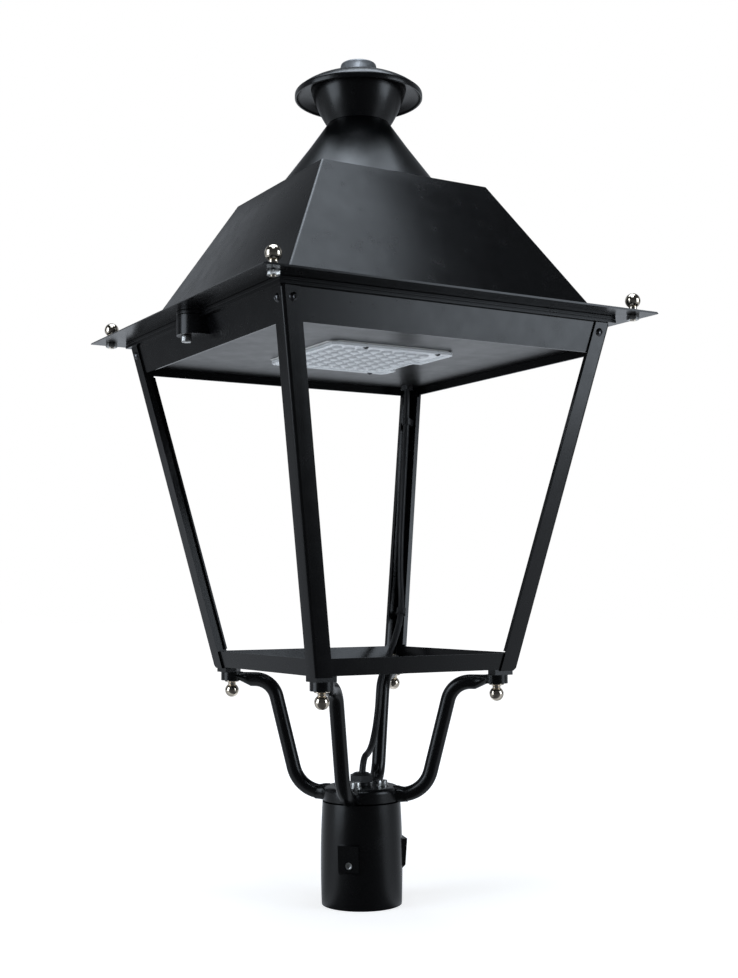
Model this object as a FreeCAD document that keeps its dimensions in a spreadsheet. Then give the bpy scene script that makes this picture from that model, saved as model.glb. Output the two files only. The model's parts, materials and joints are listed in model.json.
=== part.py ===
import FreeCAD, Part
import math
import os
import Sketcher
from types import SimpleNamespace
from FreeCAD import Placement, Rotation, Vector

# Street light head: a four-sided lantern on a sleeve that drops over a post.
# Millimetres, +Z up, origin at the centre of the sleeve's mouth.
# Corners: front (-X -Y), left (-X +Y), right (+X -Y) and back (+X +Y).
# The latch is on the -X side and the roof's hinge on the +X side.

doc = FreeCAD.newDocument("street_light_head")
sheet = doc.addObject("Spreadsheet::Sheet", "dims")

# Driving dimensions, in millimetres and degrees
sizes = {
    # post sleeve
    "poleRadius": 38.0,
    "poleClearance": 0.5,
    "sleeveHeight": 105.3,
    "sleeveWeb": 8.0,
    "sleeveFootRadius": 41.8,
    "sleeveNeckRadius": 40.9,
    "sleeveBarrel": 1060.0,
    "bossWidth": 22.0,
    "bossLow": 35.6,
    "bossLength": 30.4,
    "bossTopReach": 46.5,
    "bossFootReach": 44.5,
    "bossChamfer": 3.5,
    "bossTurn": -17.5,
    "setScrewRadius": 4.0,
    "setScrewHeight": 45.5,
    "screwFit": 0.05,
    # hub and arms
    "hubRadius": 40.0,
    "hubThickness": 15.7,
    "hubEdge": 5.0,
    "hubGroove": 1.5,
    "hubScrewCircle": 23.0,
    "hubScrewRadius": 3.0,
    "hubHeadRadius": 5.0,
    "hubHeadHeight": 5.0,
    "washerRadius": 6.4,
    "washerThickness": 1.2,
    "armRadius": 7.6,
    "armFlare": 1.4,
    "armFlareLength": 10.0,
    "armRise": 116.8,
    "kneeOut": 28.0,
    "kneeSetback": 25.5,
    "shoulderSetback": 19.0,
    "shoulderRun": 5.0,
    "padRadius": 11.8,
    "padThickness": 8.8,
    # lead and glands
    "cableRadius": 3.5,
    "cableFit": 0.1,
    "glandThread": 8.0,
    "glandCollar": 10.0,
    "glandCollarHeight": 4.0,
    "glandNutRadius": 13.2,
    "glandNutHeight": 7.0,
    "glandDome": 2.5,
    "trayGlandInset": 24.0,
    "trayGlandThread": 5.5,
    "trayGlandNutRadius": 8.4,
    "trayGlandNutHeight": 5.0,
    "trayGlandTop": 8.0,
    # legs
    "legFootGap": 4.2,
    "legLength": 355.0,
    "footHalf": 116.1,
    "legLean": 0.2037,
    "legSheet": 2.0,
    "legFlange": 18.5,
    "legLip": 5.2,
    "lipClearance": 2.0,
    "legScrewDrop": 10.0,
    "legScrewInset": 11.0,
    "legScrewRadius": 2.5,
    "legHeadRadius": 4.3,
    "legHeadHeight": 2.6,
    # bottom frame and its ball finials
    "footBlock": 5.5,
    "bandHeight": 16.9,
    "bandWall": 2.0,
    "bandLedge": 12.0,
    "gussetReach": 22.0,
    "lowerFinialInset": 14.1,
    "lowerBallRadius": 7.4,
    "lowerBallDrop": 10.8,
    "finialNeck": 4.4,
    "finialFlange": 7.8,
    "finialStud": 3.0,
    "nutRadius": 6.6,
    "nutHeight": 5.0,
    # upper frame
    "skirtDepth": 33.7,
    "skirtWall": 2.0,
    "flangeThickness": 3.0,
    "flangeOverhang": 5.5,
    "ledgeWidth": 9.0,
    "ledgeThickness": 2.5,
    "trayDrop": 24.5,
    "plateThickness": 2.0,
    "plateClearance": 0.4,
    "trayScrewRadius": 2.0,
    # latch
    "latchRadius": 18.5,
    "latchProud": 17.0,
    "latchDepth": 20.0,
    "latchGap": 0.5,
    "latchScrewOut": 7.5,
    "latchScrewRadius": 4.0,
    "latchHeadRadius": 5.2,
    "latchHeadHeight": 7.0,
    "keeperPlay": 0.6,
    # light source
    "lensDepth": 4.0,
    "lensFloor": 1.4,
    "lensBorder": 7.0,
    "lensCorner": 10.0,
    "notchLow": -6.0,
    "notchHigh": 47.0,
    "notchDepth": 10.0,
    "gasketThickness": 0.5,
    "boardThickness": 1.6,
    "boardGap": 4.0,
    "boardMarginX": 6.5,
    "boardMarginY": 10.5,
    "chipSize": 3.5,
    "chipHeight": 0.7,
    "chipPitch": 15.0,
    "chipCount": 8,
    "domeRadius": 6.2,
    "domeHeight": 2.4,
    "domeTaper": 38.0,
    "lensScrewNear": 33.0,
    "lensScrewFar": 54.0,
    "lensScrewRadius": 1.5,
    "lensHeadRadius": 3.2,
    "lensHeadHeight": 2.0,
    # gear on the tray
    "driverLength": 160.0,
    "driverWidth": 62.0,
    "driverHeight": 36.0,
    "driverX": -45.0,
    "driverY": 70.0,
    "driverEar": 12.0,
    "driverEdge": 4.0,
    "earThickness": 3.0,
    "earScrewRadius": 2.0,
    "surgeLength": 56.0,
    "surgeWidth": 42.0,
    "surgeHeight": 26.0,
    "surgeX": 70.0,
    "surgeY": -60.0,
    "terminalLength": 50.0,
    "terminalWidth": 22.0,
    "terminalHeight": 20.0,
    "terminalX": 105.0,
    "terminalY": 120.0,
    "terminalWays": 3,
    # cable clips
    "lowerClipRise": 58.2,
    "upperClipRise": 288.2,
    "clipHeight": 8.0,
    "clipWall": 1.8,
    "clipTab": 2.5,
    "clipTabNear": 1.5,
    "clipTabFar": 12.0,
    "clipWeb": 3.5,
    "clipScrewInset": 3.4,
    "clipScrewRadius": 1.5,
    "clipHeadRadius": 2.8,
    "clipHeadHeight": 1.8,
    # hinge
    "knuckleRadius": 5.5,
    "hingeGap": 1.0,
    "hingeDrop": 2.5,
    "hingeOffset": 105.0,
    "roofKnuckle": 20.0,
    "frameKnuckle": 11.0,
    "knuckleGap": 0.4,
    "hingePinRadius": 2.5,
    "pinFit": 0.05,
    "leafThickness": 3.0,
    "leafLength": 22.0,
    "leafBackGap": 7.0,
    "roofLeafReach": 15.0,
    # roof
    "rimGap": 0.3,
    "rimWidth": 10.0,
    "rimHeight": 3.7,
    "brimOverhang": 30.4,
    "brimWidth": 42.3,
    "roofSheet": 2.0,
    "crownHalf": 99.0,
    "roofHeight": 143.4,
    "hipRadius": 3.0,
    "upperFinialInset": 18.2,
    "upperBallRadius": 7.8,
    "upperBallRise": 13.0,
    # chimney
    "coneInset": 2.7,
    "coneFlangeWidth": 6.3,
    "coneMidRadius": 54.2,
    "coneMidRise": 49.9,
    "neckRadius": 34.0,
    "coneRise": 78.8,
    "cupFlare": 18.0,
    "cupDepth": 39.8,
    "cupBulge": 140.0,
    "chimneySheet": 2.0,
    "hatOverhang": 17.4,
    "hatDrop": 10.6,
    "hatRimDepth": 7.2,
    "hatRise": 14.2,
    "knobRadius": 21.7,
    "knobFootHeight": 4.5,
    "knobFootSweep": 7.0,
    "knobWaist": 19.2,
    "knobHeight": 11.0,
    "knobShoulderRadius": 17.2,
    "knobShoulderSweep": 6.0,
    "knobTopRadius": 12.0,
    "knobDome": 4.0,
    "rodRadius": 4.0,
    "rodFit": 0.2,
    "tieNutRadius": 8.0,
}
for row, (alias, value) in enumerate(sizes.items(), start=1):
    sheet.set("A%d" % row, alias)
    sheet.set("B%d" % row, str(value))
    sheet.setAlias("B%d" % row, alias)
doc.recompute()


class Size:
    # a length that carries both its sheet formula and its present value
    def __init__(self, formula, value):
        self.formula = formula
        self.value = value

    def __add__(self, other):
        other = toSize(other)
        return Size("(%s + %s)" % (self.formula, other.formula), self.value + other.value)

    def __sub__(self, other):
        other = toSize(other)
        return Size("(%s - %s)" % (self.formula, other.formula), self.value - other.value)

    def __mul__(self, other):
        other = toSize(other)
        return Size("(%s * %s)" % (self.formula, other.formula), self.value * other.value)

    def __truediv__(self, other):
        other = toSize(other)
        return Size("(%s / %s)" % (self.formula, other.formula), self.value / other.value)

    def __radd__(self, other):
        return toSize(other) + self

    def __rsub__(self, other):
        return toSize(other) - self

    def __rmul__(self, other):
        return toSize(other) * self

    def __neg__(self):
        return toSize(0) - self


def toSize(number):
    if isinstance(number, Size):
        return number
    return Size("(%r)" % float(number), float(number))


def root(length):
    return Size("sqrt(%s)" % length.formula, math.sqrt(length.value))


d = SimpleNamespace(**{alias: Size("dims." + alias, float(sheet.get(alias))) for alias in sizes})
diagonal = root(toSize(2))

# Places that several pieces share, from the sleeve up
boreRadius = d.poleRadius + d.poleClearance
cableHole = d.cableRadius + d.cableFit
corners = ((-1, -1), (-1, 1), (1, -1), (1, 1))
hubTop = d.sleeveHeight + d.hubThickness
armHeight = d.sleeveHeight + d.hubThickness / 2
glandTop = hubTop + d.glandCollarHeight + d.glandNutHeight + d.glandDome
padTop = hubTop + d.armRise
shoulderHeight = padTop - d.armRadius
lowerBallHeight = padTop - d.padThickness - d.lowerBallDrop
footHeight = padTop + d.legFootGap
bandLow = padTop + d.footBlock
bandHigh = bandLow + d.bandHeight
flangeLow = footHeight + d.legLength
flangeHigh = flangeLow + d.flangeThickness
skirtLow = flangeHigh - d.skirtDepth
plateLow = flangeHigh - d.trayDrop
plateTop = plateLow + d.plateThickness
ledgeTop = plateTop + d.ledgeThickness
latchLow = flangeHigh - d.latchDepth
lensLow = plateLow - d.lensDepth
brimLow = flangeHigh + d.rimGap + d.rimHeight
brimTop = brimLow + d.roofSheet
upperBallHeight = brimTop + d.upperBallRise
crownHeight = brimTop + d.roofHeight
coneMidHeight = crownHeight + d.coneMidRise
neckHeight = crownHeight + d.coneRise
cupHeight = neckHeight + d.cupDepth
hatRimLow = cupHeight - d.hatDrop
hatRimHigh = hatRimLow + d.hatRimDepth
hatCrown = cupHeight + d.hatRise
knobShoulder = hatCrown + d.knobHeight
knobTop = knobShoulder + d.knobDome


def legHalf(height):
    # half width over the legs' outer faces at a height
    return d.footHalf + d.legLean * (height - footHeight)


def skirtHalf(height):
    # half width over the frame sheets that the legs wrap around
    return legHalf(height) - d.legSheet


# Half widths and radii that several pieces share
lowerFinialHalf = d.footHalf - d.lowerFinialInset
rimHalf = skirtHalf(flangeHigh) + d.flangeOverhang
brimHalf = rimHalf + d.brimOverhang
pyramidHalf = brimHalf - d.brimWidth
upperFinialHalf = brimHalf - d.upperFinialInset
latchReach = rimHalf + d.latchProud
latchScrewReach = rimHalf + d.latchScrewOut
trayGlandHalf = skirtHalf(plateLow) - d.trayGlandInset
trayScrewHalf = skirtHalf(plateTop) - d.skirtWall - d.ledgeWidth * 0.6
hingeX = rimHalf + d.knuckleRadius + d.hingeGap
hingeZ = flangeHigh - d.hingeDrop
chipSpan = d.chipPitch * (d.chipCount - 1)
boardHalfX = chipSpan / 2 + d.boardMarginX
boardHalfY = chipSpan / 2 + d.boardMarginY
lensHalfX = boardHalfX + d.boardGap + d.lensBorder + d.notchDepth / 2
lensHalfY = boardHalfY + d.boardGap + d.lensBorder
lowerClipHeight = footHeight + d.lowerClipRise
upperClipHeight = footHeight + d.upperClipRise
coneFlange = d.crownHalf - d.coneInset
coneFootRadius = coneFlange - d.coneFlangeWidth
cupRadius = d.neckRadius + d.cupFlare
hatRadius = cupRadius + d.hatOverhang


# Drawing helpers
def bind(thing, **values):
    for name, value in values.items():
        thing.setExpression(name.replace("_", "."), toSize(value).formula)


def newBody(label):
    body = doc.addObject("PartDesign::Body", label)
    body.Label = label
    return body


def originOf(body, role):
    return [item for item in body.Origin.OriginFeatures if item.Role == role][0]


def newSketch(body, name, plane="XZ_Plane", x=0, y=0, z=0, turn=None):
    # turn swings an upright sketch about the vertical axis
    sketch = body.newObject("Sketcher::SketchObject", name)
    sketch.AttachmentSupport = [(originOf(body, plane), "")]
    sketch.MapMode = "FlatFace"
    if turn is not None:
        sketch.AttachmentOffset = Placement(Vector(), Rotation(Vector(0, 1, 0), turn.value))
    for axis, value in (("x", x), ("y", y), ("z", z)):
        sketch.setExpression("AttachmentOffset.Base." + axis, toSize(value).formula)
    return sketch


def pin(sketch, geometry, point, x, y):
    for kind, value in (("DistanceX", toSize(x)), ("DistanceY", toSize(y))):
        index = sketch.addConstraint(Sketcher.Constraint(kind, -1, 1, geometry, point, value.value))
        sketch.setExpression("Constraints[%d]" % index, value.formula)


def fixRadius(sketch, geometry, radius):
    index = sketch.addConstraint(Sketcher.Constraint("Radius", geometry, radius.value))
    sketch.setExpression("Constraints[%d]" % index, radius.formula)


def draw(sketch, points, closed=True):
    # a point is (x, y), or (x, y, radius, side) when an arc leads to it: side +1 turns left
    count = len(points)
    spots = [Vector(toSize(point[0]).value, toSize(point[1]).value, 0) for point in points]
    edges = []
    for i in range(count if closed else count - 1):
        start = spots[i]
        end = spots[(i + 1) % count]
        target = points[(i + 1) % count]
        if len(target) == 2:
            geometry = sketch.addGeometry(Part.LineSegment(start, end), False)
            edges.append((geometry, 1, 2))
            continue
        radius = toSize(target[2])
        side = target[3]
        chord = end - start
        across = Vector(-chord.y, chord.x, 0).normalize()
        rise = radius.value - math.sqrt(max(radius.value ** 2 - chord.Length ** 2 / 4, 0))
        middle = (start + end) * 0.5 - across * (rise * side)
        geometry = sketch.addGeometry(Part.Arc(start, middle, end), False)
        fixRadius(sketch, geometry, radius)
        edges.append((geometry, 1, 2) if side > 0 else (geometry, 2, 1))
    for i in range(len(edges) if closed else len(edges) - 1):
        here = edges[i]
        after = edges[(i + 1) % len(edges)]
        sketch.addConstraint(Sketcher.Constraint("Coincident", here[0], here[2], after[0], after[1]))
    for i, edge in enumerate(edges):
        pin(sketch, edge[0], edge[1], points[i][0], points[i][1])
    if not closed:
        pin(sketch, edges[-1][0], edges[-1][2], points[-1][0], points[-1][1])


def circle(sketch, x, y, radius):
    centre = Vector(toSize(x).value, toSize(y).value, 0)
    geometry = sketch.addGeometry(Part.Circle(centre, Vector(0, 0, 1), toSize(radius).value), False)
    pin(sketch, geometry, 3, x, y)
    fixRadius(sketch, geometry, toSize(radius))


def rectangle(sketch, xLow, yLow, xHigh, yHigh):
    draw(sketch, [(xLow, yLow), (xHigh, yLow), (xHigh, yHigh), (xLow, yHigh)])


def revolve(body, sketch, axis="V_Axis", kind="PartDesign::Revolution"):
    feature = body.newObject(kind, sketch.Name + "Turned")
    feature.Profile = sketch
    feature.ReferenceAxis = (sketch, [axis])
    feature.Angle = 360
    return feature


def pad(body, sketch, length, symmetric=False, along=None):
    # along is the leaning direction, when the piece isn't square to its sketch
    feature = body.newObject("PartDesign::Pad", sketch.Name + "Pad")
    feature.Profile = sketch
    if symmetric:
        feature.SideType = "Symmetric"
    if along is not None:
        feature.UseCustomVector = True
        feature.AlongSketchNormal = True
        feature.Direction = Vector(along[0].value, along[1].value, 1)
        bind(feature, Direction_x=along[0], Direction_y=along[1])
    bind(feature, Length=length)
    return feature


def pocket(body, sketch, length, outward=True):
    # outward cuts along the sketch's normal
    feature = body.newObject("PartDesign::Pocket", sketch.Name + "Cut")
    feature.Profile = sketch
    feature.Reversed = outward
    bind(feature, Length=length)
    return feature


def ring(body, features, count):
    pattern = body.newObject("PartDesign::PolarPattern", body.Name + features[0].Name + "Ring")
    pattern.Originals = features
    pattern.Axis = (originOf(body, "Z_Axis"), [""])
    pattern.Angle = 360
    pattern.Occurrences = count
    body.Tip = pattern
    return pattern


def mirror(body, features, plane):
    copy = body.newObject("PartDesign::Mirrored", body.Name + features[0].Name + "Mirror")
    copy.Originals = features
    copy.MirrorPlane = (originOf(body, plane), [""])
    body.Tip = copy
    return copy


def turnToCorners(body):
    # a piece drawn along +X is turned on to the diagonals
    body.Placement = Placement(Vector(), Rotation(Vector(0, 0, 1), 45))
    return body


def frustum(name, low, high, halfLow, halfHigh):
    # square block whose sides lean: a wedge stood upright
    wedge = doc.addObject("Part::Wedge", name)
    wedge.Placement = Placement(Vector(), Rotation(Vector(1, 0, 0), 90))
    bind(wedge, Ymin=low, Ymax=high)
    bind(wedge, Xmin=-halfLow, Zmin=-halfLow, Xmax=halfLow, Zmax=halfLow)
    bind(wedge, X2min=-halfHigh, Z2min=-halfHigh, X2max=halfHigh, Z2max=halfHigh)
    return wedge


def block(name, x, y, z, length, width, height):
    # box centred on x and y, standing on z
    box = doc.addObject("Part::Box", name)
    bind(box, Length=length, Width=width, Height=height)
    length, width = toSize(length), toSize(width)
    bind(box, Placement_Base_x=x - length / 2, Placement_Base_y=y - width / 2, Placement_Base_z=z)
    return box


def cylinder(name, x, y, z, radius, height):
    rod = doc.addObject("Part::Cylinder", name)
    bind(rod, Radius=radius, Height=height)
    bind(rod, Placement_Base_x=x, Placement_Base_y=y, Placement_Base_z=z)
    return rod


def join(label, pieces):
    fused = doc.addObject("Part::MultiFuse", label)
    fused.Shapes = pieces
    fused.Label = label
    return fused


def group(label, pieces):
    bundle = doc.addObject("Part::Compound", label)
    bundle.Links = pieces
    bundle.Label = label
    return bundle


def subtract(label, base, tools):
    cut = doc.addObject("Part::Cut", label)
    cut.Base = base
    cut.Tool = tools[0] if len(tools) == 1 else join(label + "Tools", tools)
    cut.Label = label
    return cut


nodes = []


def keep(piece):
    nodes.append(piece)
    return piece


# Post sleeve: a barrel with a closed top and three bosses for the set screws
def makePostSleeve():
    body = newBody("post_sleeve")
    shell = newSketch(body, "sleeveShell")
    webLow = d.sleeveHeight - d.sleeveWeb
    webHole = cableHole + 1.5
    draw(shell, [
        (boreRadius, 0), (d.sleeveFootRadius, 0),
        (d.sleeveNeckRadius, d.sleeveHeight, d.sleeveBarrel, 1),
        (webHole, d.sleeveHeight), (webHole, webLow), (boreRadius, webLow)])
    revolve(body, shell)
    boss = newSketch(body, "sleeveBoss", turn=d.bossTurn)
    bossBack = boreRadius + 1.0
    bossHigh = d.bossLow + d.bossLength
    draw(boss, [
        (bossBack, d.bossLow), (d.bossFootReach - d.bossChamfer, d.bossLow),
        (d.bossFootReach, d.bossLow + d.bossChamfer), (d.bossTopReach, bossHigh),
        (bossBack, bossHigh)])
    bossPad = pad(body, boss, d.bossWidth, symmetric=True)
    bolt = newSketch(body, "sleeveBossHole", y=d.setScrewHeight, turn=d.bossTurn)
    rectangle(bolt, boreRadius - 3, 0, d.bossTopReach + 1, d.setScrewRadius + d.screwFit)
    boltHole = revolve(body, bolt, "H_Axis", "PartDesign::Groove")
    ring(body, [bossPad, boltHole], 3)
    tapped = newSketch(body, "sleeveTapped", "XY_Plane", z=d.sleeveHeight)
    place = d.hubScrewCircle / diagonal
    for sx, sy in corners:
        circle(tapped, place * sx, place * sy, d.hubScrewRadius + d.screwFit)
    pocket(body, tapped, d.sleeveWeb, outward=False)
    return body


def makeSetScrews():
    body = newBody("set_screws")
    screw = newSketch(body, "setScrew", y=d.setScrewHeight, turn=d.bossTurn)
    tip = boreRadius + 0.2
    end = d.bossFootReach - 0.5
    socket = d.setScrewRadius * 0.5
    draw(screw, [
        (tip, 0), (tip, d.setScrewRadius - 1), (tip + 1, d.setScrewRadius),
        (end, d.setScrewRadius), (end, socket), (end - 2.5, socket), (end - 3, 0)])
    ring(body, [revolve(body, screw, "H_Axis")], 3)
    return body


# Spider: hub, four bent arms and their flattened ends, one casting
def makeArmSpider():
    body = newBody("arm_spider")
    hub = newSketch(body, "hubSection")
    draw(hub, [
        (d.glandThread + d.screwFit, d.sleeveHeight), (d.hubRadius - d.hubGroove, d.sleeveHeight),
        (d.hubRadius, d.sleeveHeight + d.hubGroove),
        (d.hubRadius, hubTop - d.hubEdge), (d.hubRadius - d.hubEdge, hubTop, d.hubEdge, 1),
        (d.glandThread + d.screwFit, hubTop)])
    revolve(body, hub)
    flare = newSketch(body, "armFlareSection", y=armHeight)
    flareStart = d.hubRadius - d.hubEdge
    tip = d.hubRadius + d.armFlareLength
    wide = d.armRadius + d.armFlare
    draw(flare, [
        (flareStart, 0), (tip, 0), (tip, d.armRadius),
        (d.hubRadius, wide, d.armFlareLength * 4, -1), (flareStart, wide)])
    flareTurned = revolve(body, flare, "H_Axis")
    armStart = d.hubRadius - d.hubEdge
    padReach = lowerFinialHalf * diagonal
    tongue = padReach - d.finialFlange - 0.5
    armEnd = tongue - d.armRadius * 1.8
    knee = d.hubRadius + d.kneeOut
    shoulder = armEnd - d.shoulderRun - d.shoulderSetback
    run = shoulder - knee
    rise = shoulderHeight - armHeight
    slope = root(run * run + rise * rise)
    out = run / slope
    up = rise / slope
    bend = up / (1 - out)
    path = newSketch(body, "armPath")
    draw(path, [
        (armStart, armHeight), (knee - d.kneeSetback, armHeight),
        (knee + d.kneeSetback * out, armHeight + d.kneeSetback * up, d.kneeSetback * bend, 1),
        (shoulder - d.shoulderSetback * out, shoulderHeight - d.shoulderSetback * up),
        (shoulder + d.shoulderSetback, shoulderHeight, d.shoulderSetback * bend, -1),
        (armEnd, shoulderHeight)], closed=False)
    section = newSketch(body, "armSection", "YZ_Plane", z=armStart)
    circle(section, 0, armHeight, d.armRadius)
    arm = body.newObject("PartDesign::AdditivePipe", "arm")
    arm.Profile = section
    arm.Spine = (path, ["Edge%d" % (i + 1) for i in range(5)])
    rounded = newSketch(body, "armEndRound", "YZ_Plane", z=armEnd)
    oval(rounded, shoulderHeight, d.armRadius, d.armRadius)
    flattened = newSketch(body, "armEndFlat", "YZ_Plane", z=tongue)
    flatHalf = d.padThickness / 2
    oval(flattened, padTop - flatHalf, d.padRadius * 0.9, flatHalf)
    taper = body.newObject("PartDesign::AdditiveLoft", "armTaper")
    taper.Profile = rounded
    taper.Sections = [flattened]
    tonguePad = pad(body, flattened, padReach - tongue)
    eye = newSketch(body, "armEye", "XY_Plane", z=padTop - d.padThickness)
    circle(eye, padReach, 0, d.padRadius)
    eyePad = pad(body, eye, d.padThickness)
    ring(body, [flareTurned, arm, taper, tonguePad, eyePad], 4)
    faced = newSketch(body, "hubFaced", "XY_Plane", z=d.sleeveHeight)
    circle(faced, 0, 0, tip + 1)
    pocket(body, faced, d.armFlare * 2, outward=False)
    holes = newSketch(body, "spiderHoles", "XY_Plane", z=d.sleeveHeight)
    for x, y in ((1, 0), (-1, 0), (0, 1), (0, -1)):
        circle(holes, d.hubScrewCircle * x, d.hubScrewCircle * y, d.hubScrewRadius + d.screwFit)
        circle(holes, padReach * x, padReach * y, d.finialStud + d.screwFit)
    pocket(body, holes, padTop - d.sleeveHeight + 1)
    return turnToCorners(body)


def oval(sketch, height, halfWide, halfTall):
    # four arcs round a point on the upright axis: a circle, or a flattened tube
    bend = (halfWide * halfWide + halfTall * halfTall) / (halfTall * 2)
    draw(sketch, [
        (halfWide, height, bend, 1), (0, height + halfTall, bend, 1),
        (-halfWide, height, bend, 1), (0, height - halfTall, bend, 1)])


def makeHubScrews():
    body = newBody("hub_screws")
    screw = newSketch(body, "hubScrew", x=d.hubScrewCircle)
    seat = hubTop + d.washerThickness
    top = seat + d.hubHeadHeight
    socket = d.hubHeadRadius * 0.55
    draw(screw, [
        (0, d.sleeveHeight - d.sleeveWeb + 0.5), (d.hubScrewRadius, d.sleeveHeight - d.sleeveWeb + 0.5),
        (d.hubScrewRadius, seat), (d.hubHeadRadius, seat), (d.hubHeadRadius, top - 0.6),
        (d.hubHeadRadius - 0.6, top), (socket, top), (socket, top - 2.6), (0, top - 3)])
    ring(body, [revolve(body, screw)], 4)
    return turnToCorners(body)


def makeHubWashers():
    body = newBody("hub_washers")
    washer = newSketch(body, "hubWasher", x=d.hubScrewCircle)
    rectangle(washer, d.hubScrewRadius + 0.2, hubTop, d.washerRadius, hubTop + d.washerThickness)
    ring(body, [revolve(body, washer)], 4)
    return turnToCorners(body)


# Cable gland on the hub: a threaded body and a domed hexagon nut
def makeGlandBody():
    body = newBody("gland_body")
    section = newSketch(body, "glandSection")
    draw(section, [
        (cableHole, d.sleeveHeight), (d.glandThread, d.sleeveHeight), (d.glandThread, hubTop),
        (d.glandCollar, hubTop), (d.glandCollar, hubTop + d.glandCollarHeight - 1),
        (d.glandCollar - 1, hubTop + d.glandCollarHeight), (cableHole, hubTop + d.glandCollarHeight)])
    revolve(body, section)
    return body


def hexNut(label, x, y, low, radius, height, hole, dome=None):
    # hexagon with a round hole, and a coned top where it has one
    prism = doc.addObject("Part::Prism", label + "Hexagon")
    prism.Polygon = 6
    bind(prism, Circumradius=radius, Height=height)
    bind(prism, Placement_Base_x=x, Placement_Base_y=y, Placement_Base_z=low)
    if dome is None:
        return subtract(label, prism, [cylinder(label + "Bore", x, y, low - 1, hole, height + 2)])
    cap = doc.addObject("Part::Cone", label + "Dome")
    bind(cap, Radius1=radius * 0.84, Radius2=radius * 0.55, Height=dome)
    bind(cap, Placement_Base_x=x, Placement_Base_y=y, Placement_Base_z=low + height)
    bore = cylinder(label + "Bore", x, y, low - 1, hole, height + dome + 2)
    return subtract(label, join(label + "Solid", [prism, cap]), [bore])


# Bottom frame: a leaning band with an inward ledge and a foot block in each corner
def makeBottomFrame():
    outer = frustum("bandOuter", bandLow, bandHigh, skirtHalf(bandLow), skirtHalf(bandHigh))
    ledgeHigh = bandLow + d.bandWall
    innerLow = skirtHalf(ledgeHigh) - d.bandWall
    innerHigh = skirtHalf(bandHigh + 1) - d.bandWall
    hollow = frustum("bandHollow", ledgeHigh, bandHigh + 1, innerLow, innerHigh)
    window = (innerLow - d.bandLedge) * 2
    opening = block("bandWindow", toSize(0), toSize(0), bandLow - 1, window, window, d.bandWall + 2)
    band = subtract("band", outer, [hollow, opening])
    feet = newBody("bandFeet")
    plan = newSketch(feet, "bandFoot", "XY_Plane", z=padTop)
    edge = d.footHalf - d.legSheet
    inside = edge - d.gussetReach
    bevel = d.gussetReach * 0.42
    draw(plan, [
        (edge, edge), (inside, edge), (inside, inside + bevel),
        (inside + bevel, inside), (edge, inside)])
    ring(feet, [pad(feet, plan, ledgeHigh - padTop)], 4)
    studs = []
    for i, (sx, sy) in enumerate(corners):
        studs.append(cylinder("bandStudHole%d" % i, lowerFinialHalf * sx, lowerFinialHalf * sy,
                              padTop - 1, d.finialStud + d.screwFit, ledgeHigh - padTop + 2))
    return subtract("bottom_frame", join("bandAndFeet", [band, feet]), studs)


# Legs: folded angle with return lips between the two frames
def makeLeg(label, sx, sy):
    body = newBody(label + "Angle")
    lean = (d.legLean * sx, d.legLean * sy)
    outer = d.footHalf
    angle = newSketch(body, label + "Section", "XY_Plane", z=footHeight)
    free = outer - d.legFlange
    inner = outer - d.legSheet
    fold = [(outer, outer), (free, outer), (free, inner), (inner, inner), (inner, free), (outer, free)]
    draw(angle, [(x * sx, y * sy) for x, y in fold])
    pad(body, angle, flangeLow - footHeight, along=lean)
    lipLow = bandHigh + d.lipClearance
    lipHigh = skirtLow - d.lipClearance
    lips = newSketch(body, label + "Lips", "XY_Plane", z=lipLow)
    outer = legHalf(lipLow)
    free = outer - d.legFlange
    turned = outer - d.legLip
    for swap in (False, True):
        lip = [(free, outer), (free + d.legSheet, outer), (free + d.legSheet, turned), (free, turned)]
        lip = [(y, x) for x, y in lip] if swap else lip
        draw(lips, [(x * sx, y * sy) for x, y in lip])
    pad(body, lips, lipHigh - lipLow, along=lean)
    return subtract(label, body, [legScrewHoles, clipScrewHoles] if label == "leg_back" else [legScrewHoles])


# Screws at the heads of the legs, square to each leaning face, two to a leg
def legScrewSpots():
    height = flangeLow - d.legScrewDrop
    reach = legHalf(height)
    along = reach - d.legScrewInset
    tilt = math.degrees(math.atan(d.legLean.value))
    spots = []
    for side in range(4):
        for hand in (-1, 1):
            turn = Rotation(Vector(0, 0, 1), 90 * side)
            upright = Rotation(Vector(0, 1, 0), 90 + tilt)
            spots.append((Vector(reach.value, along.value * hand, height.value), turn, upright))
    return [(turn.multVec(spot), turn.multiply(upright)) for spot, turn, upright in spots]


def domedScrew(shank, head, tall, grip):
    # domed head with a socket, seated at z 0, and a shank below it
    dome = Part.Arc(Vector(head, 0, 0), Vector(head * 0.82, 0, tall * 0.66), Vector(head * 0.5, 0, tall))
    outline = [
        Vector(head * 0.5, 0, tall), Vector(head * 0.5, 0, tall * 0.35), Vector(0, 0, tall * 0.25),
        Vector(0, 0, -grip), Vector(shank, 0, -grip), Vector(shank, 0, 0), Vector(head, 0, 0)]
    edges = [dome.toShape()]
    for start, end in zip(outline, outline[1:]):
        edges.append(Part.makeLine(start, end))
    return Part.Face(Part.Wire(edges)).revolve(Vector(), Vector(0, 0, 1), 360)


def placeScrews(label, turned, spots):
    screws = []
    for spot, turn in spots:
        screw = turned.copy()
        screw.Placement = Placement(spot, turn)
        screws.append(screw)
    feature = doc.addObject("Part::Feature", label)
    feature.Shape = Part.makeCompound(screws)
    feature.Label = label
    return feature


def screwHoles(name, spots, radius):
    # rods through each screw's place, to cut its hole
    reach = 12
    rods = []
    for i, (spot, turn) in enumerate(spots):
        rod = doc.addObject("Part::Cylinder", "%s%d" % (name, i))
        bind(rod, Radius=radius + d.screwFit, Height=reach * 2)
        rod.Placement = Placement(spot - turn.multVec(Vector(0, 0, reach)), turn)
        rods.append(rod)
    return join(name, rods)


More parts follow.
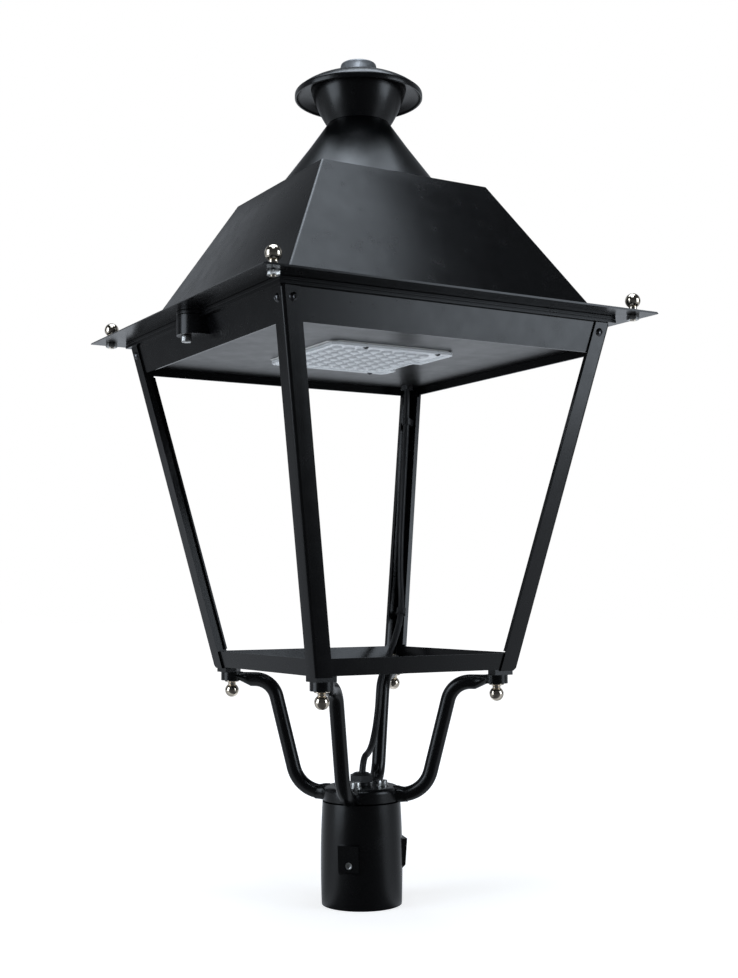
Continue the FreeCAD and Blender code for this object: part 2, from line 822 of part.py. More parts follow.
def makeLegScrews():
    grip = d.legSheet.value + d.skirtWall.value
    screw = domedScrew(d.legScrewRadius.value, d.legHeadRadius.value, d.legHeadHeight.value, grip)
    return placeScrews("leg_screws", screw, legScrewSpots())


# Ball finials: turned, with a flange, a neck and a stud
def finialSection(sketch, seat, ballHeight, ballRadius, studEnd, up):
    # up is +1 for a ball above its seat and -1 for one hanging below
    flangeEdge = seat + 2.0 * up
    neckEdge = seat + 2.6 * up
    reach = root(ballRadius * ballRadius - d.finialNeck * d.finialNeck)
    points = [
        (0, studEnd), (d.finialStud, studEnd), (d.finialStud, seat), (d.finialFlange, seat),
        (d.finialFlange, flangeEdge), (d.finialNeck, neckEdge),
        (d.finialNeck, ballHeight - reach * up), (0, ballHeight + ballRadius * up, ballRadius, up)]
    draw(sketch, points)


def makeLowerFinials():
    body = newBody("lower_ball_finials")
    section = newSketch(body, "lowerFinial", x=lowerFinialHalf * diagonal)
    studEnd = bandLow + d.bandWall + d.nutHeight + 2
    finialSection(section, padTop - d.padThickness, lowerBallHeight, d.lowerBallRadius, studEnd, -1)
    ring(body, [revolve(body, section)], 4)
    return turnToCorners(body)


def makeUpperFinials():
    body = newBody("upper_ball_finials")
    section = newSketch(body, "upperFinial", x=upperFinialHalf * diagonal)
    studEnd = brimLow - d.nutHeight - 1
    finialSection(section, brimTop, upperBallHeight, d.upperBallRadius, studEnd, 1)
    ring(body, [revolve(body, section)], 4)
    return turnToCorners(body)


def makeFinialNuts(label, half, low):
    body = newBody(label)
    plan = newSketch(body, label + "Plan", "XY_Plane", z=low)
    reach = half * diagonal
    hexagon = []
    for step in range(6):
        angle = math.radians(60 * step)
        hexagon.append((reach + d.nutRadius * math.cos(angle), d.nutRadius * math.sin(angle)))
    draw(plan, hexagon)
    circle(plan, reach, 0, d.finialStud + d.screwFit)
    ring(body, [pad(body, plan, d.nutHeight)], 4)
    return turnToCorners(body)


# Upper frame: leaning skirt, rim flange, inner ledge for the tray and the latch boss
def makeUpperFrame():
    skirt = frustum("skirtOuter", skirtLow, flangeHigh, skirtHalf(skirtLow), skirtHalf(flangeHigh))
    rim = block("rimFlange", toSize(0), toSize(0), flangeLow, rimHalf * 2, rimHalf * 2,
                flangeHigh - flangeLow)
    boss = newBody("latchBoss")
    plan = newSketch(boss, "latchPlan", "XY_Plane", z=latchLow)
    latchOutline(plan, skirtHalf(latchLow) - d.skirtWall)
    pad(boss, plan, flangeHigh - d.latchGap - latchLow)
    solid = join("upperFrameSolid", [skirt, rim, boss])
    below = skirtLow - 1
    above = flangeHigh + 1
    lower = frustum("skirtHollowLow", below, plateTop, skirtHalf(below) - d.skirtWall,
                    skirtHalf(plateTop) - d.skirtWall)
    upper = frustum("skirtHollowHigh", ledgeTop, above, skirtHalf(ledgeTop) - d.skirtWall,
                    skirtHalf(above) - d.skirtWall)
    window = (skirtHalf(plateTop) - d.skirtWall - d.ledgeWidth) * 2
    opening = block("trayWindow", toSize(0), toSize(0), plateTop - 1, window, window, d.ledgeThickness + 2)
    bolt = cylinder("latchHole", -latchScrewReach, toSize(0), latchLow - 1,
                    d.latchScrewRadius + d.pinFit, d.latchDepth + 2)
    screws = trayScrewHoles("ledgeHole", plateTop - 1, d.ledgeThickness + 2)
    return subtract("upper_frame", solid, [lower, upper, opening, bolt, legScrewHoles] + screws)


def latchOutline(sketch, back):
    # half-round boss in plan, with a square root that runs back into the frame
    centre = latchReach - d.latchRadius
    draw(sketch, [
        (-back, d.latchRadius), (-centre, d.latchRadius),
        (-latchReach, 0, d.latchRadius, 1), (-centre, -d.latchRadius, d.latchRadius, 1),
        (-back, -d.latchRadius)])


def trayScrewHoles(name, low, depth):
    holes = []
    for i, (sx, sy) in enumerate(corners):
        holes.append(cylinder("%s%d" % (name, i), trayScrewHalf * sx, trayScrewHalf * sy, low,
                              d.trayScrewRadius + d.screwFit, depth))
    return holes


def makeTrayScrews():
    body = newBody("tray_screws")
    screw = newSketch(body, "trayScrew", x=trayScrewHalf * diagonal)
    head = d.trayScrewRadius * 1.9
    draw(screw, [
        (0, plateLow + 0.3), (d.trayScrewRadius, plateLow + 0.3), (d.trayScrewRadius, ledgeTop),
        (head, ledgeTop), (head, ledgeTop + 1.4), (head - 1, ledgeTop + 2.4), (0, ledgeTop + 2.4)])
    ring(body, [revolve(body, screw)], 4)
    return turnToCorners(body)


# Light source under the tray: board, gasket and a clear lens with a dome over each chip
def makeLedPlate():
    half = skirtHalf(plateLow) - d.skirtWall - d.plateClearance
    sheetMetal = block("traySheet", toSize(0), toSize(0), plateLow, half * 2, half * 2, d.plateThickness)
    gland = cylinder("trayGlandHole", trayGlandHalf, trayGlandHalf, plateLow - 1,
                     d.trayGlandThread + d.screwFit, d.plateThickness + 2)
    holes = trayScrewHoles("trayHole", plateLow - 1, d.plateThickness + 2)
    for i, (x, y) in enumerate(lensScrewSpots()):
        holes.append(cylinder("trayLensHole%d" % i, x, y, plateLow - 1,
                              d.lensScrewRadius + d.screwFit, d.plateThickness + 2))
    return subtract("led_plate", sheetMetal, [gland] + holes)


def lensOutline(sketch, inset):
    # rectangle with cut corners and a wire notch in the +X side
    x = lensHalfX - inset
    y = lensHalfY - inset
    cut = d.lensCorner - inset * (2 - diagonal)
    notch = x - d.notchDepth
    draw(sketch, [
        (-x + cut, -y), (x - cut, -y), (x, -y + cut), (x, d.notchLow - inset), (notch, d.notchLow - inset),
        (notch, d.notchHigh + inset), (x, d.notchHigh + inset), (x, y - cut), (x - cut, y),
        (-x + cut, y), (-x, y - cut), (-x, -y + cut)])


def makeLedBoard():
    body = newBody("led_board")
    plan = newSketch(body, "boardPlan", "XY_Plane", z=plateLow)
    middle = -d.notchDepth / 2
    rectangle(plan, middle - boardHalfX, -boardHalfY, middle + boardHalfX, boardHalfY)
    slab = pad(body, plan, d.boardThickness)
    slab.Reversed = True
    chip = newSketch(body, "chipPlan", "XY_Plane", z=plateLow - d.boardThickness)
    side = d.chipSize / 2
    x, y = firstChip()
    rectangle(chip, x - side, y - side, x + side, y + side)
    chipPad = pad(body, chip, d.chipHeight)
    chipPad.Reversed = True
    gridOf(body, chipPad)
    return body


def firstChip():
    # the rows are centred on the board, clear of the wire notch
    return -(chipSpan + d.notchDepth) / 2, -chipSpan / 2


def gridOf(body, feature):
    # a multi transform of two linear patterns, a chip pitch apart both ways
    several = body.newObject("PartDesign::MultiTransform", body.Name + "Grid")
    several.Originals = [feature]
    steps = []
    for name, axis in (("Columns", "X_Axis"), ("Rows", "Y_Axis")):
        pattern = body.newObject("PartDesign::LinearPattern", body.Name + name)
        pattern.Direction = (originOf(body, axis), [""])
        bind(pattern, Length=chipSpan, Occurrences=d.chipCount)
        steps.append(pattern)
    several.Transformations = steps
    body.Tip = several
    return several


def makeLensGasket():
    body = newBody("lens_gasket")
    plan = newSketch(body, "gasketPlan", "XY_Plane", z=plateLow - d.gasketThickness)
    lensOutline(plan, toSize(0))
    lensOutline(plan, d.lensBorder)
    lensScrewHoles(plan)
    pad(body, plan, d.gasketThickness)
    return body


def lensScrewSpots():
    y = lensHalfY - d.lensBorder / 2
    return [(x, y * side) for x in (-d.lensScrewNear, d.lensScrewFar) for side in (-1, 1)]


def lensScrewHoles(sketch):
    for x, y in lensScrewSpots():
        circle(sketch, x, y, d.lensScrewRadius + d.screwFit)


def makeLedLens():
    body = newBody("led_lens")
    plan = newSketch(body, "lensPlan", "XY_Plane", z=lensLow)
    lensOutline(plan, toSize(0))
    lensScrewHoles(plan)
    pad(body, plan, plateLow - d.gasketThickness - lensLow)
    inside = newSketch(body, "lensInside", "XY_Plane", z=lensLow + d.lensFloor)
    lensOutline(inside, d.lensBorder)
    pocket(body, inside, plateLow - lensLow)
    dome = newSketch(body, "lensDome", "XY_Plane", z=lensLow)
    x, y = firstChip()
    circle(dome, x, y, d.domeRadius)
    domePad = pad(body, dome, d.domeHeight)
    domePad.Reversed = True
    bind(domePad, TaperAngle=-d.domeTaper)
    gridOf(body, domePad)
    return body


def makeLensScrews():
    # pan heads under the lens border, shanks up into the tray
    screws = []
    for i, (x, y) in enumerate(lensScrewSpots()):
        low = lensLow - d.lensHeadHeight
        head = cylinder("lensHead%d" % i, x, y, low, d.lensHeadRadius, d.lensHeadHeight)
        shank = cylinder("lensShank%d" % i, x, y, lensLow, d.lensScrewRadius, plateTop - lensLow)
        screws.append(join("lensScrew%d" % i, [head, shank]))
    return group("lens_screws", screws)


# Gear on the tray, under the roof
def makeLedDriver():
    body = newBody("led_driver")
    plan = newSketch(body, "driverPlan", "XY_Plane", z=plateTop)
    long = d.driverLength / 2
    wide = d.driverWidth / 2
    rectangle(plan, d.driverX - long, d.driverY - wide, d.driverX + long, d.driverY + wide)
    case = pad(body, plan, d.driverHeight)
    doc.recompute()
    edge = body.newObject("PartDesign::Fillet", "driverEdges")
    edge.Base = (case, uprightEdges(case.Shape) + topEdges(case.Shape))
    bind(edge, Radius=d.driverEdge)
    ears = newSketch(body, "driverEars", "XY_Plane", z=plateTop)
    reach = long + d.driverEar
    half = wide * 0.6
    rectangle(ears, d.driverX - reach, d.driverY - half, d.driverX + reach, d.driverY + half)
    pad(body, ears, d.earThickness)
    holes = newSketch(body, "driverEarHoles", "XY_Plane", z=plateTop)
    for side in (-1, 1):
        x = d.driverX + (long + d.driverEar * 0.5) * side
        circle(holes, x, d.driverY, d.earScrewRadius + d.screwFit)
    pocket(body, holes, d.earThickness + 1)
    return body


def uprightEdges(shape):
    names = []
    for i, edge in enumerate(shape.Edges):
        ends = [vertex.Point for vertex in edge.Vertexes]
        if len(ends) == 2 and (ends[0] - ends[1]).cross(Vector(0, 0, 1)).Length < 1e-6:
            names.append("Edge%d" % (i + 1))
    return names


def topEdges(shape):
    top = shape.BoundBox.ZMax
    names = []
    for i, edge in enumerate(shape.Edges):
        if edge.BoundBox.ZMin > top - 1e-6:
            names.append("Edge%d" % (i + 1))
    return names


def makeDriverScrews():
    screws = []
    seat = plateTop + d.earThickness
    for i, side in enumerate((-1, 1)):
        x = d.driverX + (d.driverLength / 2 + d.driverEar * 0.5) * side
        shank = cylinder("driverShank%d" % i, x, d.driverY, plateTop, d.earScrewRadius, d.earThickness)
        head = cylinder("driverHead%d" % i, x, d.driverY, seat, d.earScrewRadius * 1.9, 2.4)
        screws.append(join("driverScrew%d" % i, [shank, head]))
    return group("driver_screws", screws)


def makeSurgeProtector():
    case = block("surgeCase", d.surgeX, d.surgeY, plateTop, d.surgeLength, d.surgeWidth, d.surgeHeight)
    doc.recompute()
    rounded = doc.addObject("Part::Fillet", "surge_protector")
    rounded.Base = case
    upright = [int(name[4:]) for name in uprightEdges(case.Shape)]
    rounded.Edges = [(i, d.driverEdge.value, d.driverEdge.value) for i in upright]
    rounded.Label = "surge_protector"
    return rounded


def makeTerminalBlock():
    base = block("terminalCase", d.terminalX, d.terminalY, plateTop, d.terminalLength, d.terminalWidth,
                 d.terminalHeight)
    pitch = d.terminalLength / d.terminalWays
    wells = []
    for i in range(int(d.terminalWays.value)):
        x = d.terminalX + pitch * (i - (d.terminalWays.value - 1) / 2)
        wells.append(cylinder("terminalWell%d" % i, x, d.terminalY, plateTop + d.terminalHeight * 0.55,
                              d.terminalWidth * 0.2, d.terminalHeight))
    return subtract("terminal_block", base, wells)


def makeTrayGlandBody():
    place = trayGlandHalf
    tall = d.plateThickness + d.trayGlandTop
    body = cylinder("trayGlandNeck", place, place, plateLow, d.trayGlandThread, tall)
    collar = cylinder("trayGlandCollar", place, place, plateTop, d.trayGlandNutRadius, d.trayGlandTop / 2)
    bore = cylinder("trayGlandBore", place, place, plateLow - 1, cableHole, tall + 2)
    return subtract("tray_gland_body", join("trayGlandSolid", [body, collar]), [bore])


# Lead: straight runs joined by tangent arcs, from the hub's gland to the tray's
def cableRoute():
    # in the back corner's diagonal plane: out from the axis, across to the +X side, and up
    glandOut = trayGlandHalf.value * math.sqrt(2)
    points = [
        (0, 0, d.sleeveHeight.value - d.sleeveWeb.value + 1), (0, 0, 148), (38, 0, 152), (60, 0, 172),
        (75, 0, 200), (84, 0, 230), (129, 4, 263), (159, 8, 300), (179, 0, 352),
        (glandOut, 0, 540), (glandOut, 0, plateTop.value + 20)]
    half = math.sqrt(0.5)
    return [Vector((out + across) * half, (out - across) * half, up) for out, across, up in points]


def cablePath():
    points = cableRoute()
    runs = [(points[i + 1] - points[i]).Length for i in range(len(points) - 1)]
    edges = []
    radii = []
    at = points[0]
    for i in range(1, len(points) - 1):
        before = (points[i - 1] - points[i]).normalize()
        after = (points[i + 1] - points[i]).normalize()
        setback = 0.45 * min(runs[i - 1], runs[i])
        if i == 1:
            setback = min(setback, points[1].z - glandTop.value - 0.5)
        half = before.getAngle(after) / 2
        radius = setback * math.tan(half)
        start = points[i] + before * setback
        end = points[i] + after * setback
        inward = (before + after).normalize()
        middle = points[i] + inward * (setback / math.cos(half) - radius)
        edges.append(Part.makeLine(at, start))
        edges.append(Part.Arc(start, middle, end).toShape())
        radii.append(radius)
        at = end
    edges.append(Part.makeLine(at, points[-1]))
    return Part.Wire(edges), radii


def cableSolid(radius):
    path, radii = cablePath()
    section = Part.Wire([Part.makeCircle(radius, cableRoute()[0], Vector(0, 0, 1))])
    return path.makePipeShell([section], True, False)


def makeSupplyCable():
    path, radii = cablePath()
    solid = cableSolid(d.cableRadius.value)
    expected = math.pi * d.cableRadius.value ** 2 * path.Length
    print("lead bends: " + ", ".join("%.0f" % radius for radius in radii))
    print("lead length %.0f, volume share %.4f" % (path.Length, solid.Volume / expected))
    feature = doc.addObject("Part::Feature", "supply_cable")
    feature.Shape = solid
    feature.Label = "supply_cable"
    return feature


def cableAt(height):
    # point and direction of the lead at a height
    path = cablePath()[0]
    points = path.discretize(Distance=1.0)
    i = min(range(1, len(points) - 1), key=lambda n: abs(points[n].z - height.value))
    return points[i], (points[i + 1] - points[i - 1]).normalize()


# Clips that hold the lead on the back leg: a loop on a tab that is screwed to the +X flange
def makeCableClips():
    clips = []
    for name, height in (("lowerClip", lowerClipHeight), ("upperClip", upperClipHeight)):
        spot, along = cableAt(height)
        low = height - d.clipHeight / 2
        face = legHalf(low) - d.legSheet
        near = face - d.clipTabNear
        far = face - d.clipTabFar
        lift = d.legLean * (d.clipHeight / 2)
        loopX = toSize(spot.x) - lift
        loopY = toSize(spot.y) - lift
        wide = cableHole + d.clipWall * 0.5
        tab = newBody(name + "Tab")
        plan = newSketch(tab, name + "Plan", "XY_Plane", z=low)
        draw(plan, [
            (face, near), (face - d.clipTab, near), (face - d.clipTab, far + d.clipWeb),
            (loopX, loopY + wide), (loopX, loopY - wide), (face - d.clipTab, far), (face, far)])
        pad(tab, plan, d.clipHeight, along=(d.legLean, d.legLean))
        loop = doc.addObject("Part::Cylinder", name + "Loop")
        bind(loop, Radius=cableHole + d.clipWall, Height=d.clipHeight)
        turn = Rotation(Vector(0, 0, 1), along)
        loop.Placement = Placement(spot - along * (d.clipHeight.value / 2), turn)
        clips.append(join(name, [tab, loop]))
    bore = doc.addObject("Part::Feature", "clipBore")
    bore.Shape = cableSolid(cableHole.value)
    return subtract("cable_clips", group("clipSolids", clips), [bore, clipScrewHoles])


def clipScrewSpots():
    # on the tabs' inner faces, square to the leaning flange
    tilt = math.degrees(math.atan(d.legLean.value))
    spots = []
    for height in (lowerClipHeight, upperClipHeight):
        face = legHalf(height) - d.legSheet
        along = face - d.clipTabNear - d.clipScrewInset
        spots.append((Vector((face - d.clipTab).value, along.value, height.value),
                      Rotation(Vector(0, 1, 0), tilt - 90)))
    return spots


def makeClipScrews():
    grip = d.clipTab.value + d.legSheet.value
    screw = domedScrew(d.clipScrewRadius.value, d.clipHeadRadius.value, d.clipHeadHeight.value, grip)
    return placeScrews("clip_screws", screw, clipScrewSpots())


# Hinge on the +X side: leaves on the frame, leaves on the roof and a pin through each pair
def makeFrameLeaves():
    body = newBody("hinge_frame_leaves")
    leafFoot = flangeLow - d.leafLength
    leafBack = flangeLow - d.leafBackGap
    earOuter = d.roofKnuckle / 2 + d.knuckleGap + d.frameKnuckle
    earInner = d.roofKnuckle / 2 + d.knuckleGap
    features = []
    for name, far in (("earFar", d.hingeOffset + earOuter), ("earNear", d.hingeOffset - earInner)):
        ear = newSketch(body, name, z=-far)
        k = d.knuckleRadius
        draw(ear, [
            (skirtHalf(leafFoot), leafFoot), (skirtHalf(leafFoot) + d.leafThickness, leafFoot),
            (hingeX + k * 0.4, hingeZ - k * 1.6), (hingeX + k, hingeZ),
            (hingeX, hingeZ + k, k, 1), (hingeX - k, hingeZ, k, 1), (hingeX - k, flangeLow),
            (skirtHalf(flangeLow), flangeLow)])
        features.append(pad(body, ear, d.frameKnuckle))
    back = newSketch(body, "leafBackPlate", z=-(d.hingeOffset + earInner))
    draw(back, [
        (skirtHalf(leafFoot), leafFoot), (skirtHalf(leafFoot) + d.leafThickness, leafFoot),
        (skirtHalf(leafBack) + d.leafThickness, leafBack), (skirtHalf(leafBack), leafBack)])
    features.append(pad(body, back, earInner * 2))
    bore = newSketch(body, "leafBore", z=-(d.hingeOffset + earOuter + 1))
    circle(bore, hingeX, hingeZ, d.hingePinRadius + d.pinFit)
    features.append(pocket(body, bore, earOuter * 2 + 2))
    mirror(body, features, "XZ_Plane")
    return body


def makeRoofLeaves():
    body = newBody("hinge_roof_leaves")
    leaf = newSketch(body, "roofLeaf", z=-(d.hingeOffset + d.roofKnuckle / 2))
    k = d.knuckleRadius
    plateUnder = brimLow - d.leafThickness
    draw(leaf, [
        (hingeX - k, brimLow), (hingeX - k, hingeZ), (hingeX, hingeZ - k, k, 1),
        (hingeX + k, hingeZ, k, 1), (hingeX + k, plateUnder),
        (hingeX + d.roofLeafReach, plateUnder), (hingeX + d.roofLeafReach, brimLow)])
    leafPad = pad(body, leaf, d.roofKnuckle)
    bore = newSketch(body, "roofLeafBore", z=-(d.hingeOffset + d.roofKnuckle / 2 + 1))
    circle(bore, hingeX, hingeZ, d.hingePinRadius + d.pinFit)
    boreCut = pocket(body, bore, d.roofKnuckle + 2)
    mirror(body, [leafPad, boreCut], "XZ_Plane")
    return body


def makeHingePins():
    body = newBody("hinge_pins")
    end = d.roofKnuckle / 2 + d.knuckleGap + d.frameKnuckle
    rod = newSketch(body, "hingePin", z=-(d.hingeOffset + end))
    circle(rod, hingeX, hingeZ, d.hingePinRadius)
    shaft = pad(body, rod, end * 2)
    head = newSketch(body, "hingePinHead", z=-(d.hingeOffset + end + 2))
    circle(head, hingeX, hingeZ, d.hingePinRadius + 1.5)
    cap = pad(body, head, 2)
    mirror(body, [shaft, cap], "XZ_Plane")
    return body


# Roof: folded sheet with a flat brim, four leaning sides with rounded hips and a flat crown
def makeRoofCanopy():
    body = newBody("roof_canopy")
    squares = []
    slope = (pyramidHalf - d.crownHalf) / (crownHeight - brimTop)
    wall = d.roofSheet * root(1 + slope * slope)
    crownUnder = crownHeight - d.roofSheet
    levels = (
        ("roofFoot", brimTop, pyramidHalf), ("roofCrown", crownHeight, d.crownHalf),
        ("roofMouth", brimLow, pyramidHalf + slope * d.roofSheet - wall),
        ("roofCeiling", crownUnder, d.crownHalf + slope * d.roofSheet - wall))
    for name, height, half in levels:
        square = newSketch(body, name, "XY_Plane", z=height)
        rectangle(square, -half, -half, half, half)
        squares.append(square)
    pyramid = body.newObject("PartDesign::AdditiveLoft", "roofPyramid")
    pyramid.Profile = squares[0]
    pyramid.Sections = [squares[1]]
    doc.recompute()
    hips = body.newObject("PartDesign::Fillet", "roofHips")
    hips.Base = (pyramid, leaningEdges(pyramid.Shape))
    bind(hips, Radius=d.hipRadius)
    brim = newSketch(body, "roofBrim", "XY_Plane", z=brimLow)
    rectangle(brim, -brimHalf, -brimHalf, brimHalf, brimHalf)
    pad(body, brim, d.roofSheet)
    hollow = body.newObject("PartDesign::SubtractiveLoft", "roofHollow")
    hollow.Profile = squares[2]
    hollow.Sections = [squares[3]]
    holes = newSketch(body, "roofHoles", "XY_Plane", z=brimLow - 1)
    circle(holes, 0, 0, d.rodRadius + d.rodFit)
    for sx, sy in corners:
        circle(holes, upperFinialHalf * sx, upperFinialHalf * sy, d.finialStud + d.screwFit)
    pocket(body, holes, crownHeight - brimLow + 2)
    return body


def leaningEdges(shape):
    # the four hips: neither level nor upright
    names = []
    for i, edge in enumerate(shape.Edges):
        box = edge.BoundBox
        if box.ZLength > 1 and box.XLength > 1:
            names.append("Edge%d" % (i + 1))
    return names


def makeRoofRim():
    low = flangeHigh + d.rimGap
    outer = block("rimOuter", toSize(0), toSize(0), low, rimHalf * 2, rimHalf * 2, brimLow - low)
    gap = (rimHalf - d.rimWidth) * 2
    inner = block("rimInner", toSize(0), toSize(0), low - 1, gap, gap, brimLow - low + 2)
    return subtract("roof_rim", outer, [inner])


def makeLatchKeeper():
    body = newBody("latch_keeper")
    plan = newSketch(body, "keeperPlan", "XY_Plane", z=flangeHigh + d.latchGap)
    back = rimHalf
    behind = back - (latchReach - d.latchRadius)
    half = root(d.latchRadius * d.latchRadius - behind * behind)
    draw(plan, [(-back, half), (-latchReach, 0, d.latchRadius, 1), (-back, -half, d.latchRadius, 1)])
    circle(plan, -latchScrewReach, 0, d.latchScrewRadius + d.keeperPlay)
    pad(body, plan, brimLow - flangeHigh - d.latchGap)
    return body


def makeLatchScrew():
    body = newBody("latch_screw")
    section = newSketch(body, "latchScrewSection", x=-latchScrewReach)
    head = d.latchHeadRadius
    low = latchLow - d.latchHeadHeight
    top = brimLow - 0.6
    socket = head * 0.45
    draw(section, [
        (0, low + 3), (socket, low + 3), (socket, low), (head - 1, low), (head, low + 1),
        (head, latchLow), (d.latchScrewRadius, latchLow), (d.latchScrewRadius, top - 1),
        (d.latchScrewRadius - 1, top), (0, top)])
    revolve(body, section)
    return body


# Chimney: spun cone, cup and hat, tied down by a rod from the knob
def makeChimneyCone():
    body = newBody("chimney_cone")
    section = newSketch(body, "coneSection")
    sheetMetal = d.chimneySheet
    draw(section, [
        (coneFlange, crownHeight), (coneFlange, crownHeight + sheetMetal),
        (coneFootRadius, crownHeight + sheetMetal), (d.coneMidRadius, coneMidHeight),
        (d.neckRadius, neckHeight), (d.neckRadius - sheetMetal, neckHeight),
        (d.coneMidRadius - sheetMetal * 1.3, coneMidHeight),
        (coneFootRadius - sheetMetal * 1.3, crownHeight)])
    revolve(body, section)
    return body


def makeChimneyCup():
    body = newBody("chimney_cup")
    section = newSketch(body, "cupSection")
    sheetMetal = d.chimneySheet
    hole = d.rodRadius + d.rodFit
    floor = neckHeight + sheetMetal
    draw(section, [
        (hole, neckHeight), (d.neckRadius, neckHeight), (cupRadius, cupHeight, d.cupBulge, 1),
        (cupRadius - sheetMetal, cupHeight), (d.neckRadius - sheetMetal, floor, d.cupBulge, -1),
        (hole, floor)])
    revolve(body, section)
    return body


def makeChimneyHat():
    body = newBody("chimney_hat")
    section = newSketch(body, "hatSection")
    sheetMetal = d.chimneySheet
    hole = d.rodRadius + d.rodFit
    rimIn = hatRadius - sheetMetal
    draw(section, [
        (hatRadius, hatRimLow), (hatRadius, hatRimHigh - 2),
        (hatRadius - 2, hatRimHigh, 2, 1), (d.knobRadius + 2, hatCrown), (hole, hatCrown),
        (hole, hatCrown - sheetMetal), (d.knobRadius, hatCrown - sheetMetal),
        (cupRadius - 2, cupHeight), (cupRadius + 2, cupHeight),
        (rimIn, hatRimHigh - sheetMetal * 1.25), (rimIn, hatRimLow)])
    revolve(body, section)
    return body


def makeHatKnob():
    body = newBody("hat_knob")
    section = newSketch(body, "knobSection")
    hole = d.rodRadius + d.rodFit
    draw(section, [
        (hole, hatCrown), (d.knobRadius, hatCrown),
        (d.knobWaist, hatCrown + d.knobFootHeight, d.knobFootSweep, -1),
        (d.knobShoulderRadius, knobShoulder), (d.knobTopRadius, knobTop, d.knobShoulderSweep, 1), (0, knobTop),
        (0, knobShoulder), (hole, knobShoulder)])
    revolve(body, section)
    return body


def makeTieRod():
    body = newBody("tie_rod")
    section = newSketch(body, "rodSection")
    low = crownHeight - d.roofSheet - d.nutHeight - 3
    rectangle(section, 0, low, d.rodRadius, knobShoulder)
    revolve(body, section)
    return body


legScrewHoles = screwHoles("legScrewHoles", legScrewSpots(), d.legScrewRadius)
clipScrewHoles = screwHoles("clipScrewHoles", clipScrewSpots(), d.clipScrewRadius)
keep(makePostSleeve())
keep(makeSetScrews())
keep(makeArmSpider())
keep(makeHubScrews())
keep(makeHubWashers())
keep(makeGlandBody())
keep(hexNut("gland_nut", toSize(0), toSize(0), hubTop + d.glandCollarHeight, d.glandNutRadius,
            d.glandNutHeight, cableHole, d.glandDome))
keep(makeBottomFrame())
for label, sx, sy in (("leg_front", -1, -1), ("leg_left", -1, 1), ("leg_right", 1, -1), ("leg_back", 1, 1)):
    keep(makeLeg(label, sx, sy))
keep(makeLegScrews())
keep(makeLowerFinials())
keep(makeFinialNuts("lower_finial_nuts", lowerFinialHalf, bandLow + d.bandWall))
keep(makeUpperFrame())
keep(makeLedPlate())
keep(makeTrayScrews())
keep(makeLedBoard())
keep(makeLensGasket())
keep(makeLedLens())
keep(makeLensScrews())
keep(makeLedDriver())
keep(makeDriverScrews())
keep(makeSurgeProtector())
keep(makeTerminalBlock())
keep(makeTrayGlandBody())
keep(hexNut("tray_gland_nut", trayGlandHalf, trayGlandHalf, plateLow - d.trayGlandNutHeight,
            d.trayGlandNutRadius, d.trayGlandNutHeight, cableHole))
keep(makeSupplyCable())
keep(makeCableClips())
keep(makeClipScrews())
keep(makeFrameLeaves())
keep(makeHingePins())
keep(makeRoofCanopy())
keep(makeRoofRim())
keep(makeLatchKeeper())
keep(makeChimneyCone())
keep(makeChimneyCup())
keep(makeChimneyHat())
keep(makeHatKnob())
keep(makeTieRod())
keep(hexNut("tie_nut", toSize(0), toSize(0), crownHeight - d.roofSheet - d.nutHeight, d.tieNutRadius,
            d.nutHeight, d.rodRadius + d.screwFit))
keep(makeUpperFinials())
keep(makeFinialNuts("upper_finial_nuts", upperFinialHalf, brimLow - d.nutHeight))
keep(makeRoofLeaves())
keep(makeLatchScrew())
doc.recompute()

# Nothing is written unless every object came out sound
faults = [item.Name for item in doc.Objects if "Invalid" in item.State or "Error" in item.State]
for piece in nodes:
    if piece.Shape.isNull() or not piece.Shape.isValid() or piece.Shape.Volume <= 0:
        faults.append(piece.Label)
if faults:
    raise RuntimeError("these came out wrong: " + ", ".join(faults))

os.makedirs("parts", exist_ok=True)
for piece in nodes:
    piece.Shape.exportStep(os.path.join("parts", piece.Label + ".step"))
    print("%-22s solids %d volume %.0f" % (piece.Label, len(piece.Shape.Solids), piece.Shape.Volume))
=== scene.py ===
import bmesh
import bpy
import json
import math
from mathutils import Matrix, Vector

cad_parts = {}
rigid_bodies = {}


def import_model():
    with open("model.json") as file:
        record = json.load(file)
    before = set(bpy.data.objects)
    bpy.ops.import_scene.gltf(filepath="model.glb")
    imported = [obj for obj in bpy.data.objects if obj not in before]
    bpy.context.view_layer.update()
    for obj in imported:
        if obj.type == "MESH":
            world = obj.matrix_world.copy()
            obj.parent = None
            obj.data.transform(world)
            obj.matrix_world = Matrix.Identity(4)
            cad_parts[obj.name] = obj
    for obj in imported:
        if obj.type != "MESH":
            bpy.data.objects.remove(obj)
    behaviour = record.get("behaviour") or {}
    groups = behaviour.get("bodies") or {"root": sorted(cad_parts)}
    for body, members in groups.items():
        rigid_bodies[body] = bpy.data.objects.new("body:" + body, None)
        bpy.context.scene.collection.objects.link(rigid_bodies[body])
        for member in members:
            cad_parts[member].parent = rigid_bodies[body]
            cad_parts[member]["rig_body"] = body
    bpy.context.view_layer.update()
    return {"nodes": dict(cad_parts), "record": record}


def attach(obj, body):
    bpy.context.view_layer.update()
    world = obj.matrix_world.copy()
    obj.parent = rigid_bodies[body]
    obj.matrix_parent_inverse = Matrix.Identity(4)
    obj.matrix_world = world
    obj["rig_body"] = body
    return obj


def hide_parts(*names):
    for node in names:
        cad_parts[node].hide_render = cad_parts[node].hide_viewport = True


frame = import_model()
for name in ("Cube", "Camera", "Light"):  # start-up scene
    if name in bpy.data.objects:
        bpy.data.objects.remove(bpy.data.objects[name])
scene = bpy.context.scene
scene.view_settings.view_transform = "Standard"
nodes = frame["nodes"]
slotOf = {part["node"]: part["material_slot"] for part in frame["record"]["subparts"]}
mm = 0.001
print("frame loaded:", len(nodes), "nodes")


